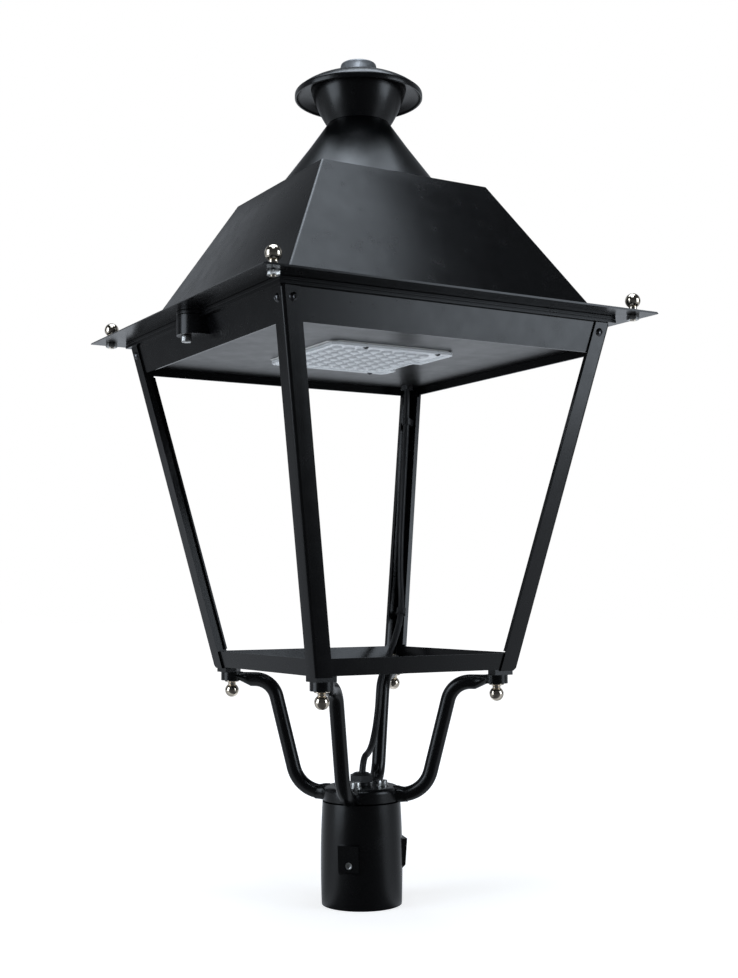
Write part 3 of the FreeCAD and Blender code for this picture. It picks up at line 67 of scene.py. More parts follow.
# Camera at the photograph's angle
shot = {
    "place": (-0.73638, -1.27607, 0.32250), "ahead": (0.503949, 0.860510, 0.074551), "roll": -0.26,
    "lens": 51.01, "sensor": 36, "near": 0.02, "far": 60,
}


def placeCamera():
    data = bpy.data.cameras.new("shotCamera")
    data.lens = shot["lens"]
    data.sensor_width = shot["sensor"]
    data.clip_start = shot["near"]
    data.clip_end = shot["far"]
    camera = bpy.data.objects.new("shotCamera", data)
    scene.collection.objects.link(camera)
    ahead = Vector(shot["ahead"]).normalized()
    right = ahead.cross(Vector((0, 0, 1))).normalized()
    up = right.cross(ahead)
    roll = math.radians(shot["roll"])
    side = right * math.cos(roll) + up * math.sin(roll)
    top = up * math.cos(roll) - right * math.sin(roll)
    turn = Matrix((side, top, -ahead)).transposed()
    camera.matrix_world = Matrix.Translation(shot["place"]) @ turn.to_4x4()
    scene.camera = camera


placeCamera()


# Finishes
noiseSpan = (0.3, 0.7)  # where most of a noise's values lie


def newFinish(name):
    material = bpy.data.materials.new(name)
    material.use_nodes = True
    tree = material.node_tree
    return material, tree, tree.nodes["Principled BSDF"]


def addNode(tree, kind, **values):
    node = tree.nodes.new(kind)
    for key, value in values.items():
        if hasattr(node, key):
            setattr(node, key, value)
        else:
            node.inputs[key].default_value = value
    return node


def grain(tree, scale, detail=2.0, stretch=None):
    # noise on the piece's own coordinates, in metres
    source = addNode(tree, "ShaderNodeTexCoord").outputs["Object"]
    noise = addNode(tree, "ShaderNodeTexNoise", Scale=scale, Detail=detail)
    if stretch:
        mapping = addNode(tree, "ShaderNodeMapping", Scale=stretch)
        tree.links.new(source, mapping.inputs["Vector"])
        source = mapping.outputs["Vector"]
    tree.links.new(source, noise.inputs["Vector"])
    return noise.outputs["Fac"]


def heightOn(tree):
    # how high each spot of the piece is, in metres
    place = addNode(tree, "ShaderNodeTexCoord")
    split = addNode(tree, "ShaderNodeSeparateXYZ")
    tree.links.new(place.outputs["Object"], split.inputs["Vector"])
    return split.outputs["Z"]


def between(tree, source, low, high, start=noiseSpan[0], end=noiseSpan[1]):
    spread = addNode(tree, "ShaderNodeMapRange")
    for key, value in (("From Min", start), ("From Max", end), ("To Min", low), ("To Max", high)):
        spread.inputs[key].default_value = value
    tree.links.new(source, spread.inputs["Value"])
    return spread.outputs["Result"]


def tint(tree, source, dark, light):
    ramp = addNode(tree, "ShaderNodeValToRGB")
    for mark, position, colour in zip(ramp.color_ramp.elements, noiseSpan, (dark, light)):
        mark.position = position
        mark.color = (*colour, 1)
    tree.links.new(source, ramp.inputs["Fac"])
    return ramp.outputs["Color"]


def levels(tree, source, stops):
    # grey levels by position along a ramp
    ramp = addNode(tree, "ShaderNodeValToRGB")
    marks = ramp.color_ramp.elements
    while len(marks) < len(stops):
        marks.new(0.5)
    for mark, (position, level) in zip(marks, stops):
        mark.position = position
    for mark, (position, level) in zip(marks, stops):
        mark.color = (level, level, level, 1)
    tree.links.new(source, ramp.inputs["Fac"])
    return ramp.outputs["Color"]


def coat(tree, shader, colour, rough):
    tree.links.new(colour, shader.inputs["Base Color"])
    tree.links.new(rough, shader.inputs["Roughness"])


def bumps(tree, shader, source, strength, height, under=None):
    bump = addNode(tree, "ShaderNodeBump", Strength=strength, Distance=height)
    tree.links.new(source, bump.inputs["Height"])
    if under:
        tree.links.new(under, bump.inputs["Normal"])
    tree.links.new(bump.outputs["Normal"], shader.inputs["Normal"])
    return bump.outputs["Normal"]


powder = {
    "dark": (0.0012, 0.0013, 0.0016), "light": (0.0022, 0.0023, 0.0028), "cloud": 7.0,
    "patch": 60.0, "spread": 0.03,  # how far the roughness goes to either side
    "peel": (260.0, 0.025, 0.0002), "tooth": (1500.0, 0.025, 0.00008),  # scale, strength and height
}


def blackPowderCoat(name, rough):
    # satin powder coat: faint cloudiness, orange peel and a fine tooth
    material, tree, shader = newFinish(name)
    shader.inputs["IOR"].default_value = 1.5
    colour = tint(tree, grain(tree, powder["cloud"], 3.0), powder["dark"], powder["light"])
    patch = grain(tree, powder["patch"], 4.0)
    coat(tree, shader, colour, between(tree, patch, rough - powder["spread"], rough + powder["spread"]))
    under = None
    for scale, strength, height in (powder["peel"], powder["tooth"]):
        under = bumps(tree, shader, grain(tree, scale, 1.0), strength, height, under)
    return material


def plainMetal(name, dark, light, rough, streak, scale, tooth):
    # plated or polished metal with faint marks from turning and handling
    material, tree, shader = newFinish(name)
    shader.inputs["Metallic"].default_value = 1.0
    colour = tint(tree, grain(tree, scale, 3.0), dark, light)
    coat(tree, shader, colour, between(tree, grain(tree, scale * 6, 3.0), rough * 0.75, rough * 1.3))
    bumps(tree, shader, grain(tree, scale * 10, 2.0, streak), tooth, 0.00005)
    return material


def plainPlastic(name, dark, light, rough, scale, tooth):
    # moulded plastic or rubber: blotches wider than its fine texture
    material, tree, shader = newFinish(name)
    colour = tint(tree, grain(tree, scale * 0.05, 3.0), dark, light)
    coat(tree, shader, colour, between(tree, grain(tree, scale * 0.2, 3.0), rough - 0.05, rough + 0.06))
    bumps(tree, shader, grain(tree, scale, 2.0), tooth, 0.0001)
    return material


board = {
    "mask": ((0.74, 0.75, 0.74), (0.82, 0.83, 0.82)), "chip": (0.80, 0.55, 0.12),
    "chipEdge": (0.57375, 0.57385),  # height between the chips' faces and the board's
}


def boardFinish():
    # white solder mask, with the amber chips told apart by their height
    material, tree, shader = newFinish("boardMask")
    mix = addNode(tree, "ShaderNodeMix", data_type="RGBA")
    mix.inputs["B"].default_value = (*board["chip"], 1)
    tree.links.new(between(tree, heightOn(tree), 1.0, 0.0, *board["chipEdge"]), mix.inputs["Factor"])
    tree.links.new(tint(tree, grain(tree, 300.0), *board["mask"]), mix.inputs["A"])
    coat(tree, shader, mix.outputs["Result"], between(tree, grain(tree, 500.0), 0.28, 0.42))
    return material


domePaintedShadeSpan = (0.5694, 0.5719)  # heights between which a dome goes from light to dark: painted shade, darker towards its foot


def lensFinish(name, dark, light, paintedDomeShade=False):
    # moulded optical plastic over a white board; a dome gets painted shade, darker towards its foot
    material, tree, shader = newFinish(name)
    shader.inputs["IOR"].default_value = 1.49
    shader.inputs["Transmission Weight"].default_value = 0.12
    source = grain(tree, 90.0, 3.0)
    if paintedDomeShade:
        # painted shade: the colour goes from light at the dome's tip to dark at its foot
        source = between(tree, heightOn(tree), 1.0, 0.0, *domePaintedShadeSpan)
    rough = between(tree, grain(tree, 220.0, 3.0), 0.10, 0.20)
    coat(tree, shader, tint(tree, source, dark, light), rough)
    bumps(tree, shader, grain(tree, 700.0, 1.0), 0.05, 0.0001)
    return material


finishes = {
    "black_coat": blackPowderCoat("blackPowderCoat", rough=0.25),
    "bare_aluminium": plainMetal("spunAluminium", (0.26, 0.265, 0.275), (0.32, 0.325, 0.335),
                                 rough=0.48, streak=(1, 1, 40), scale=60.0, tooth=0.12),
    "steel": plainMetal("zincSteel", (0.56, 0.56, 0.55), (0.74, 0.74, 0.72),
                        rough=0.34, streak=(1, 1, 14), scale=120.0, tooth=0.10),
    "black_screw": plainMetal("blackOxide", (0.10, 0.10, 0.105), (0.16, 0.16, 0.165),
                              rough=0.26, streak=(1, 1, 9), scale=160.0, tooth=0.12),
    "nickel": plainMetal("polishedNickel", (0.89, 0.785, 0.64), (0.97, 0.87, 0.74),
                         rough=0.07, streak=(1, 1, 16), scale=90.0, tooth=0.02),
    "black_plastic": plainPlastic("glandNylon", (0.008, 0.008, 0.009), (0.014, 0.014, 0.015),
                                  rough=0.40, scale=1400.0, tooth=0.20),
    "cable_sheath": plainPlastic("leadSheath", (0.007, 0.007, 0.008), (0.013, 0.013, 0.014),
                                 rough=0.42, scale=900.0, tooth=0.16),
    "gasket": plainPlastic("gasketSilicone", (0.62, 0.62, 0.61), (0.72, 0.72, 0.71),
                           rough=0.62, scale=1200.0, tooth=0.15),
    "board": boardFinish(),
    "lens": lensFinish("lensPlastic", (0.78, 0.80, 0.82), (0.86, 0.88, 0.90)),
    "driver_case": plainMetal("anodisedCase", (0.52, 0.53, 0.54), (0.60, 0.61, 0.62),
                              rough=0.36, streak=(1, 30, 1), scale=40.0, tooth=0.12),
    "gear_plastic": plainPlastic("gearPlastic", (0.62, 0.62, 0.60), (0.70, 0.70, 0.68),
                                 rough=0.44, scale=1100.0, tooth=0.15),
}
for name, node in nodes.items():
    node.data.materials.clear()
    node.data.materials.append(finishes[slotOf[name]])
nodes["led_plate"].data.materials[0] = blackPowderCoat("trayCoat", rough=0.34)
print("finishes made:", len(finishes))


# Floor, backdrop and lamps
studio = {
    "floorSize": 14.0, "floorSides": 96, "floorPaint": 0.8,
    "glow": (0.72, 1.0), "glowReach": (0.3, 2.2),  # what the camera sees, near the lantern and far off
    "bounce": 0.25,  # soft light that comes up off the floor
    "sweep": [  # the floor in reflections, from in front of the lantern to behind it
        (0.0, 0.05), (0.15, 0.08), (0.2, 0.11), (0.25, 0.27), (0.32, 0.54), (0.4, 0.5), (0.56, 0.34),
        (0.7, 0.32), (0.85, 0.44), (1.0, 0.82)],
    "sky": [  # the backdrop in reflections, from low to high
        (0.0, 0.15), (0.2, 0.27), (0.36, 0.42), (0.46, 0.31), (0.53, 0.14), (1.0, 0.05)],
    "backdropEdge": 0.75, "dark": 0.035, "cool": (0.86, 0.92, 1.0), "lampTint": (0.81, 0.90, 1.0),
}
lamps = {  # place, target, width, height and radiance
    "overheadSoftbox": ((0.065, 0.25, 2.7), (0.065, 0.25, 0), 2.03, 1.9, 2.5),
    "crownSoftbox": ((-0.1, 0.2, 2.6), (-0.1, 0.2, 0), 0.6, 0.6, 4.5),
    "keySoftbox": ((-0.55, -0.9, 2.5), (0, 0, 0.7), 0.9, 0.9, 4.5),
    "leftStrip": ((-1.9, 0.2, 0.8), (0, 0, 0.55), 1.1, 1.6, 2.6),
    "rightSoftbox": ((1.3, -1.6, 0.8), (0, 0, 0.55), 1.0, 1.3, 2.9),
}


def layFloor():
    mesh = bpy.data.meshes.new("studioFloor")
    bm = bmesh.new()
    bmesh.ops.create_circle(bm, cap_ends=True, segments=studio["floorSides"], radius=studio["floorSize"])
    bm.to_mesh(mesh)
    bm.free()
    floor = bpy.data.objects.new("studioFloor", mesh)
    scene.collection.objects.link(floor)
    material = bpy.data.materials.new("paleFloor")
    material.use_nodes = True
    tree = material.node_tree
    tree.nodes.clear()
    link = tree.links.new
    out = addNode(tree, "ShaderNodeOutputMaterial")
    paint = addNode(tree, "ShaderNodeBsdfDiffuse")
    paint.inputs["Color"].default_value = (studio["floorPaint"],) * 3 + (1,)
    place = addNode(tree, "ShaderNodeTexCoord")
    spread = addNode(tree, "ShaderNodeVectorMath", operation="LENGTH")
    link(place.outputs["Object"], spread.inputs[0])
    back = addNode(tree, "ShaderNodeVectorMath", operation="DOT_PRODUCT")
    back.inputs[1].default_value = shot["ahead"]
    link(place.outputs["Object"], back.inputs[0])
    seenGlow = between(tree, spread.outputs["Value"], *studio["glow"], *studio["glowReach"])
    bearing = addNode(tree, "ShaderNodeMath", operation="DIVIDE")
    link(back.outputs["Value"], bearing.inputs[0])
    link(spread.outputs["Value"], bearing.inputs[1])
    mirrored = levels(tree, between(tree, bearing.outputs[0], 0.0, 1.0, -1.0, 1.0), studio["sweep"])
    rays = addNode(tree, "ShaderNodeLightPath")
    strength = addNode(tree, "ShaderNodeMix", data_type="FLOAT")
    link(rays.outputs["Is Camera Ray"], strength.inputs["Factor"])
    strength.inputs["A"].default_value = studio["bounce"]
    link(seenGlow, strength.inputs["B"])
    glow = addNode(tree, "ShaderNodeEmission")
    link(strength.outputs["Result"], glow.inputs["Strength"])
    sheen = addNode(tree, "ShaderNodeEmission", Color=(*studio["cool"], 1))
    link(mirrored, sheen.inputs["Strength"])
    lit = addNode(tree, "ShaderNodeAddShader")
    link(paint.outputs[0], lit.inputs[0])
    link(glow.outputs[0], lit.inputs[1])
    either = addNode(tree, "ShaderNodeMixShader")  # lit paint, or the sweep that reflections show
    link(rays.outputs["Is Glossy Ray"], either.inputs[0])
    link(lit.outputs[0], either.inputs[1])
    link(sheen.outputs[0], either.inputs[2])
    clear = addNode(tree, "ShaderNodeBsdfTransparent")
    facing = addNode(tree, "ShaderNodeNewGeometry")
    under = addNode(tree, "ShaderNodeMixShader")  # see-through from below
    link(facing.outputs["Backfacing"], under.inputs[0])
    link(either.outputs[0], under.inputs[1])
    link(clear.outputs[0], under.inputs[2])
    link(under.outputs[0], out.inputs["Surface"])
    mesh.materials.append(material)


def hangBackdrop():
    # white to the camera; to reflections a lit backdrop behind the lantern in a dim room
    world = bpy.data.worlds.new("studioRoom")
    scene.world = world
    world.use_nodes = True
    tree = world.node_tree
    tree.nodes.clear()
    link = tree.links.new
    out = addNode(tree, "ShaderNodeOutputWorld")
    place = addNode(tree, "ShaderNodeTexCoord")
    behind = addNode(tree, "ShaderNodeVectorMath", operation="DOT_PRODUCT")
    behind.inputs[1].default_value = shot["ahead"]
    link(place.outputs["Generated"], behind.inputs[0])
    split = addNode(tree, "ShaderNodeSeparateXYZ")
    link(place.outputs["Generated"], split.inputs["Vector"])
    wide = between(tree, behind.outputs["Value"], 0.0, 1.0, 0.0, studio["backdropEdge"])
    tall = levels(tree, split.outputs["Z"], studio["sky"])
    lit = addNode(tree, "ShaderNodeMath", operation="MULTIPLY")
    link(wide, lit.inputs[0])
    link(tall, lit.inputs[1])
    level = addNode(tree, "ShaderNodeMath", operation="MAXIMUM")
    level.inputs[1].default_value = studio["dark"]
    link(lit.outputs[0], level.inputs[0])
    room = addNode(tree, "ShaderNodeBackground", Color=(*studio["cool"], 1))
    link(level.outputs[0], room.inputs["Strength"])
    white = addNode(tree, "ShaderNodeBackground", Color=(1, 1, 1, 1), Strength=1.0)
    rays = addNode(tree, "ShaderNodeLightPath")
    seen = addNode(tree, "ShaderNodeMath", operation="MAXIMUM")
    link(rays.outputs["Is Camera Ray"], seen.inputs[0])
    link(rays.outputs["Is Transmission Ray"], seen.inputs[1])
    mix = addNode(tree, "ShaderNodeMixShader")
    link(seen.outputs[0], mix.inputs[0])
    link(room.outputs[0], mix.inputs[1])
    link(white.outputs[0], mix.inputs[2])
    link(mix.outputs[0], out.inputs["Surface"])


def hangLamp(name, place, target, wide, tall, radiance):
    data = bpy.data.lights.new(name, "AREA")
    data.shape = "RECTANGLE"
    data.size = wide
    data.size_y = tall
    data.energy = math.pi * wide * tall * radiance
    data.color = studio["lampTint"]
    lamp = bpy.data.objects.new(name, data)
    lamp.location = place
    lamp.rotation_euler = (Vector(target) - Vector(place)).to_track_quat("-Z", "Y").to_euler()
    scene.collection.objects.link(lamp)


layFloor()
hangBackdrop()
for name, values in lamps.items():
    hangLamp(name, *values)
print("studio set")


# Shared modelling helpers
legLean = 0.2037  # slope of the leaning legs and skirts
weld = 0.000004  # points this close are one, in metres
crease = math.radians(34)  # a turned piece stays sharp where it bends more than this
hexTurn = math.pi / 3


def finishPiece(piece, body, slot, replaced=()):
    piece.data.materials.clear()
    piece.data.materials.append(finishes[slot])
    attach(piece, body)
    if replaced:
        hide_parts(*replaced)
    return piece


def addObject(name, mesh):
    piece = bpy.data.objects.new(name, mesh)
    scene.collection.objects.link(piece)
    return piece


def bake(piece):
    # the modifiers' result becomes the mesh
    evaluated = piece.evaluated_get(bpy.context.evaluated_depsgraph_get())
    finished = bpy.data.meshes.new_from_object(evaluated)
    piece.modifiers.clear()
    piece.data = finished
    finished.name = piece.name


def clean(node):
    # a copy of a CAD mesh with its loose triangles joined
    mesh = nodes[node].data.copy()
    if "custom_normal" in mesh.attributes:
        mesh.attributes.remove(mesh.attributes["custom_normal"])
    bm = bmesh.new()
    bm.from_mesh(mesh)
    bmesh.ops.remove_doubles(bm, verts=bm.verts, dist=weld)
    return mesh, bm


def turned(name, rings, sides=36):
    # lathe: a ring is (radius, height), and a third value makes it hexagonal
    bm = bmesh.new()
    loops = []
    for ring in rings:
        radius, height = ring[:2]
        if radius == 0:
            loops.append([bm.verts.new((0, 0, height * mm))] * sides)
            continue
        loop = []
        for i in range(sides):
            angle = math.tau * i / sides
            reach = radius * mm
            if len(ring) == 3:
                reach *= math.cos(hexTurn / 2) / math.cos(angle % hexTurn - hexTurn / 2)
            loop.append(bm.verts.new((reach * math.cos(angle), reach * math.sin(angle), height * mm)))
        loops.append(loop)
    for low, high in zip(loops, loops[1:]):
        for i in range(sides):
            j = (i + 1) % sides
            corners = []
            for vert in (low[i], low[j], high[j], high[i]):
                if vert not in corners:
                    corners.append(vert)
            if len(corners) > 2:
                bm.faces.new(corners).smooth = True
    bmesh.ops.remove_doubles(bm, verts=bm.verts, dist=weld / 4)
    bmesh.ops.recalc_face_normals(bm, faces=bm.faces)
    mesh = bpy.data.meshes.new(name)
    bm.to_mesh(mesh)
    bm.free()
    mesh.set_sharp_from_angle(angle=crease)
    return mesh


def arc(centre, radius, start, end, steps):
    # rings along an arc of the profile, in degrees from the radial direction
    rings = []
    for i in range(steps + 1):
        angle = math.radians(start + (end - start) * i / steps)
        rings.append((max(centre[0] + radius * math.cos(angle), 0), centre[1] + radius * math.sin(angle)))
    return rings


def islands(node):
    # the points of each separate solid of a CAD node
    mesh, bm = clean(node)
    left = set(bm.verts)
    groups = []
    for first in bm.verts:
        if first not in left:
            continue
        left.remove(first)
        found = [first]
        for vert in found:
            for edge in vert.link_edges:
                other = edge.other_vert(vert)
                if other in left:
                    left.remove(other)
                    found.append(other)
        groups.append([vert.co.copy() for vert in found])
    bm.free()
    bpy.data.meshes.remove(mesh)
    return groups


def seats(node, aimOf, tall):
    # where each copy stands: the foot of its head, and the way that the head faces
    spots = []
    for points in islands(node):
        middle = sum(points, Vector()) / len(points)
        aim = Vector(aimOf(middle)).normalized()
        top = max(point.dot(aim) for point in points)
        spots.append((middle + aim * (top - tall * mm - middle.dot(aim)), aim))
    return spots


def upward(middle):
    return (0, 0, 1)


def downward(middle):
    return (0, 0, -1)


def fromAxis(middle):
    return (middle.x, middle.y, 0)


def offLeg(middle):
    # square to the leaning face that a leg's screw is on
    if abs(middle.x) > abs(middle.y):
        return (math.copysign(1, middle.x), 0, -legLean)
    return (0, math.copysign(1, middle.y), -legLean)


def insideLeg(middle):
    return (-1, 0, legLean)


def scatterTree(name, slot):
    # points -> copies of a part, turned to the way each point faces and spun at random about it
    tree = bpy.data.node_groups.new(name, "GeometryNodeTree")
    for socket, kind in (("Geometry", "Geometry"), ("Part", "Object"), ("Spin", "Float"), ("Seed", "Int")):
        tree.interface.new_socket(socket, in_out="INPUT", socket_type="NodeSocket" + kind)
    tree.interface.new_socket("Geometry", in_out="OUTPUT", socket_type="NodeSocketGeometry")
    link = tree.links.new
    inlet = addNode(tree, "NodeGroupInput")
    outlet = addNode(tree, "NodeGroupOutput")
    part = addNode(tree, "GeometryNodeObjectInfo")
    link(inlet.outputs["Part"], part.inputs["Object"])
    aim = addNode(tree, "GeometryNodeInputNamedAttribute", data_type="FLOAT_VECTOR", Name="aim")
    face = addNode(tree, "FunctionNodeAlignRotationToVector", axis="Z")
    link(aim.outputs["Attribute"], face.inputs["Vector"])
    copies = addNode(tree, "GeometryNodeInstanceOnPoints")
    link(inlet.outputs["Geometry"], copies.inputs["Points"])
    link(part.outputs["Geometry"], copies.inputs["Instance"])
    link(face.outputs["Rotation"], copies.inputs["Rotation"])
    chance = addNode(tree, "FunctionNodeRandomValue", data_type="FLOAT")
    link(inlet.outputs["Spin"], chance.inputs[3])
    link(inlet.outputs["Seed"], chance.inputs["Seed"])
    turn = addNode(tree, "ShaderNodeCombineXYZ")
    link(chance.outputs[1], turn.inputs["Z"])
    spun = addNode(tree, "GeometryNodeRotateInstances")
    spun.inputs["Local Space"].default_value = True
    link(copies.outputs["Instances"], spun.inputs["Instances"])
    link(turn.outputs["Vector"], spun.inputs["Rotation"])
    real = addNode(tree, "GeometryNodeRealizeInstances")
    link(spun.outputs["Instances"], real.inputs["Geometry"])
    dressed = addNode(tree, "GeometryNodeSetMaterial", Material=finishes[slot])
    link(real.outputs["Geometry"], dressed.inputs["Geometry"])
    link(dressed.outputs["Geometry"], outlet.inputs["Geometry"])
    return tree


def scatter(name, partMesh, spots, body, slot, replaced=(), spin=0.0, seed=1):
    cloud = bpy.data.meshes.new(name)
    cloud.from_pydata([spot for spot, aim in spots], [], [])
    aims = cloud.attributes.new("aim", "FLOAT_VECTOR", "POINT")
    for i, (spot, aim) in enumerate(spots):
        aims.data[i].vector = aim
    part = addObject(name + "Part", partMesh)
    piece = addObject(name, cloud)
    tree = scatterTree(name + "Tree", slot)
    modifier = piece.modifiers.new("scatter", "NODES")
    modifier.node_group = tree
    inputs = {"Part": part, "Spin": spin, "Seed": seed}
    for socket in tree.interface.items_tree:
        if socket.in_out == "INPUT" and socket.name in inputs:
            modifier[socket.identifier] = inputs[socket.name]
    bake(piece)
    bpy.data.objects.remove(part)
    return finishPiece(piece, body, slot, replaced)


# Folded, cast and spun black pieces, with their edges rounded over so that they catch the light
rounded = {  # edge radius in metres
    "roof_canopy": 0.0008, "roof_rim": 0.0006, "upper_frame": 0.0006, "bottom_frame": 0.0007,
    "leg_front": 0.0007, "leg_left": 0.0007, "leg_right": 0.0007, "leg_back": 0.0007,
    "latch_keeper": 0.0006, "post_sleeve": 0.0009, "chimney_cone": 0.0007, "chimney_cup": 0.0006,
    "arm_spider": 0.0008, "hinge_frame_leaves": 0.0005, "hinge_roof_leaves": 0.0005,
    "led_driver": 0.0006, "surge_protector": 0.0006, "terminal_block": 0.0005, "gland_body": 0.0005,
    "cable_clips": 0.0004,
}
edges = {"segments": 2, "sharp": 30, "flat": 0.3}  # faces that meet at under "flat" degrees become one
folds = {"roof_canopy": (0.0032, -0.61)}  # fold radius, and how far the corner leans out on the way up
for side in ("front", "left", "right", "back"):
    folds["leg_" + side] = (0.003, legLean)
foldSearch = {  # how far off the diagonal a fold may be, and its least share of the longest edge
    "slack": 0.0004, "share": 0.6, "segments": 4,
}


def onDiagonal(edge):
    return all(abs(abs(vert.co.x) - abs(vert.co.y)) < foldSearch["slack"] for vert in edge.verts)


def roundFold(bm, radius, lean):
    # the long outer corner of a folded leg, or the four hips of the roof
    corner = [edge for edge in bm.edges if onDiagonal(edge)]
    least = max(edge.calc_length() for edge in corner) * foldSearch["share"]
    outer = {}
    for edge in corner:
        middle = (edge.verts[0].co + edge.verts[1].co) / 2
        side = (middle.x > 0, middle.y > 0)
        reach = abs(middle.x) - lean * middle.z
        if edge.calc_length() > least and reach > outer.get(side, (-1, None))[0]:
            outer[side] = (reach, edge)
    bmesh.ops.bevel(bm, geom=[edge for reach, edge in outer.values()], offset=radius, offset_type="OFFSET",
                    segments=foldSearch["segments"], profile=0.5, affect="EDGES", clamp_overlap=True)


def softened(node, radius, fold):
    mesh, bm = clean(node)
    flat = math.radians(edges["flat"])
    bmesh.ops.dissolve_limit(bm, angle_limit=flat, verts=bm.verts, edges=bm.edges)
    if fold:
        roundFold(bm, *fold)
    for face in bm.faces:
        face.smooth = True
    bm.to_mesh(mesh)
    bm.free()
    piece = addObject(node + "Soft", mesh)
    bevel = piece.modifiers.new("edges", "BEVEL")
    bevel.width = radius
    bevel.segments = edges["segments"]
    bevel.limit_method = "ANGLE"
    bevel.angle_limit = math.radians(edges["sharp"])
    bevel.harden_normals = True
    bevel.use_clamp_overlap = True
    bake(piece)
    finishPiece(piece, nodes[node]["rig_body"], slotOf[node], [node])


for node, radius in rounded.items():
    softened(node, radius, folds.get(node))
bpy.data.objects["chimney_coneSoft"].data.materials[0] = blackPowderCoat("spunCoat", rough=0.31)
print("edges rounded:", len(rounded))


# Spun hat, a shallow dome with a turned-down, rolled rim
hat = {
    "under": [
        (4.2, 880.2), (21.7, 880.2), (49.6, 868.15), (50.4, 868.0), (53.6, 868.0), (56.0, 867.7),
        (59.0, 866.9), (62.0, 865.5), (64.4, 863.8), (66.2, 861.9), (67.1, 860.3), (67.4, 859.2)],
    "lip": ((68.4, 858.4), 1.0), "edge": ((66.4, 861.8), 3.0),
    "top": [
        (64.8, 866.9), (61.0, 869.6), (56.0, 872.5), (50.0, 875.4), (43.0, 878.3), (35.0, 881.2),
        (28.0, 883.3), (24.4, 884.1), (23.0, 884.3), (4.2, 884.3), (4.2, 880.2)],
    "sides": 96,
}
hatRings = hat["under"] + arc(*hat["lip"], 180, 360, 8) + arc(*hat["edge"], 0, 48, 6) + hat["top"]
hatMesh = turned("chimneyHat", hatRings, hat["sides"])
finishPiece(addObject("chimneyHat", hatMesh), "roof", "black_coat", ["chimney_hat"])


# Knob on the hat, spun aluminium
knob = {
    "foot": [(0, 884.3), (22.2, 884.3)],
    "flank": [(21.7, 885.6), (21.1, 888.0), (20.3, 891.0), (19.4, 894.0)],
    "shoulder": ((16.8, 894.3), 2.6), "crown": [(10.0, 897.0), (5.0, 897.15), (0, 897.2)],
    "sides": 64,
}
knobRings = knob["foot"] + knob["flank"] + arc(*knob["shoulder"], 8, 84, 7) + knob["crown"]
knobMesh = turned("hatKnob", knobRings, knob["sides"])
finishPiece(addObject("hatKnob", knobMesh), "roof", "bare_aluminium", ["hat_knob"])
print("hat and knob spun")


# Ball finials in polished nickel
finial = {
    "flange": 7.8, "flangeFoot": 7.4, "flangeEdge": 0.9, "waist": 4.2, "stud": 2.9, "sides": 48,
    "fillet": [(1.3, 2.1), (0.35, 2.6), (0, 3.3)],  # out from the waist, and height
    "lower": {"ball": 7.4, "rise": 10.8, "grip": 23}, "upper": {"ball": 7.8, "rise": 13.0, "grip": 8},
}


def finialMesh(name, size):
    flange, edge, waist, stud = finial["flange"], finial["flangeEdge"], finial["waist"], finial["stud"]
    neck = math.degrees(math.acos(waist / size["ball"]))
    rings = [(0, -size["grip"]), (stud, -size["grip"]), (stud, 0), (finial["flangeFoot"], 0)]
    rings += arc((flange - edge, edge), edge, -45, 80, 6)
    rings += [(waist + out, height) for out, height in finial["fillet"]]
    rings += arc((0, size["rise"]), size["ball"], -neck, 90, 22)
    return turned(name, rings, finial["sides"])


lower, upper = finial["lower"], finial["upper"]
lowerSeats = seats("lower_ball_finials", downward, lower["rise"] + lower["ball"])
scatter("lowerFinials", finialMesh("lowerFinial", lower), lowerSeats, "lantern", "nickel",
        ["lower_ball_finials"])
upperSeats = seats("upper_ball_finials", upward, upper["rise"] + upper["ball"])
scatter("upperFinials", finialMesh("upperFinial", upper), upperSeats, "roof", "nickel",
        ["upper_ball_finials"])
print("finials turned:", len(lowerSeats) + len(upperSeats))


# Screws and nuts
def bowOf(radius, tall):
    # radius of the sphere that a dome is cut from, and how far round it the rim is
    bow = (radius * radius + tall * tall) / (2 * tall)
    return bow, math.degrees(math.asin(radius / bow))


def socketHead(name, radius, tall, socket, shank, grip):
    # cap screw with a hexagonal socket
    edge = 0.4
    return turned(name, [
        (0, -grip), (shank - 0.3, -grip), (shank, -grip + 0.3), (shank, 0), (radius - 0.1, 0),
        (radius, 0.1), (radius, tall - edge * 1.5), (radius - edge * 0.4, tall - edge * 0.5),
        (radius - edge, tall), (socket * 1.12, tall), (socket, tall - 0.25, 6),
        (socket, tall * 0.35, 6), (0, tall * 0.3)])


def domedHead(name, radius, tall, socket, shank, grip):
    # button head with a hexagonal socket
    bow, rim = bowOf(radius, tall)
    mouth = math.degrees(math.asin(socket * 1.15 / bow))
    crown = arc((0, tall - bow), bow, 90 - rim, 90 - mouth, 7)
    return turned(name, [(0, -grip), (shank, -grip), (shank, 0), (radius - 0.05, 0)] + crown + [
        (socket, crown[-1][1] - 0.2, 6), (socket, tall * 0.45, 6), (0, tall * 0.35)])


def hexNut(name, radius, tall, hole):
    flat = radius * math.cos(hexTurn / 2) * 0.96
    corner = radius * 0.985
    chamfer = 0.7
    mouth = 0.6
    return turned(name, [
        (hole, 0), (flat, 0), (corner, chamfer, 6), (corner, tall - chamfer, 6), (flat, tall),
        (hole + mouth, tall), (hole, tall - mouth), (hole, 0)])


def knurledHead(name, radius, tall, shank, grip):
    # thumb screw with a ridged edge
    ridges = 24
    depth = 0.045
    mesh = turned(name, [
        (0, -grip), (shank, -grip), (shank, 0), (radius * 0.8, 0), (radius * 0.97, 0.5), (radius, 1.0),
        (radius, tall - 1.2), (radius * 0.93, tall - 0.5), (radius * 0.8, tall), (radius * 0.3, tall),
        (0, tall)], ridges * 4)
    for vert in mesh.vertices:
        if math.hypot(vert.co.x, vert.co.y) > radius * mm * 0.95:
            wave = 1 - depth * (1 + math.cos(ridges * math.atan2(vert.co.y, vert.co.x))) / 2
            vert.co.x *= wave
            vert.co.y *= wave
    return mesh


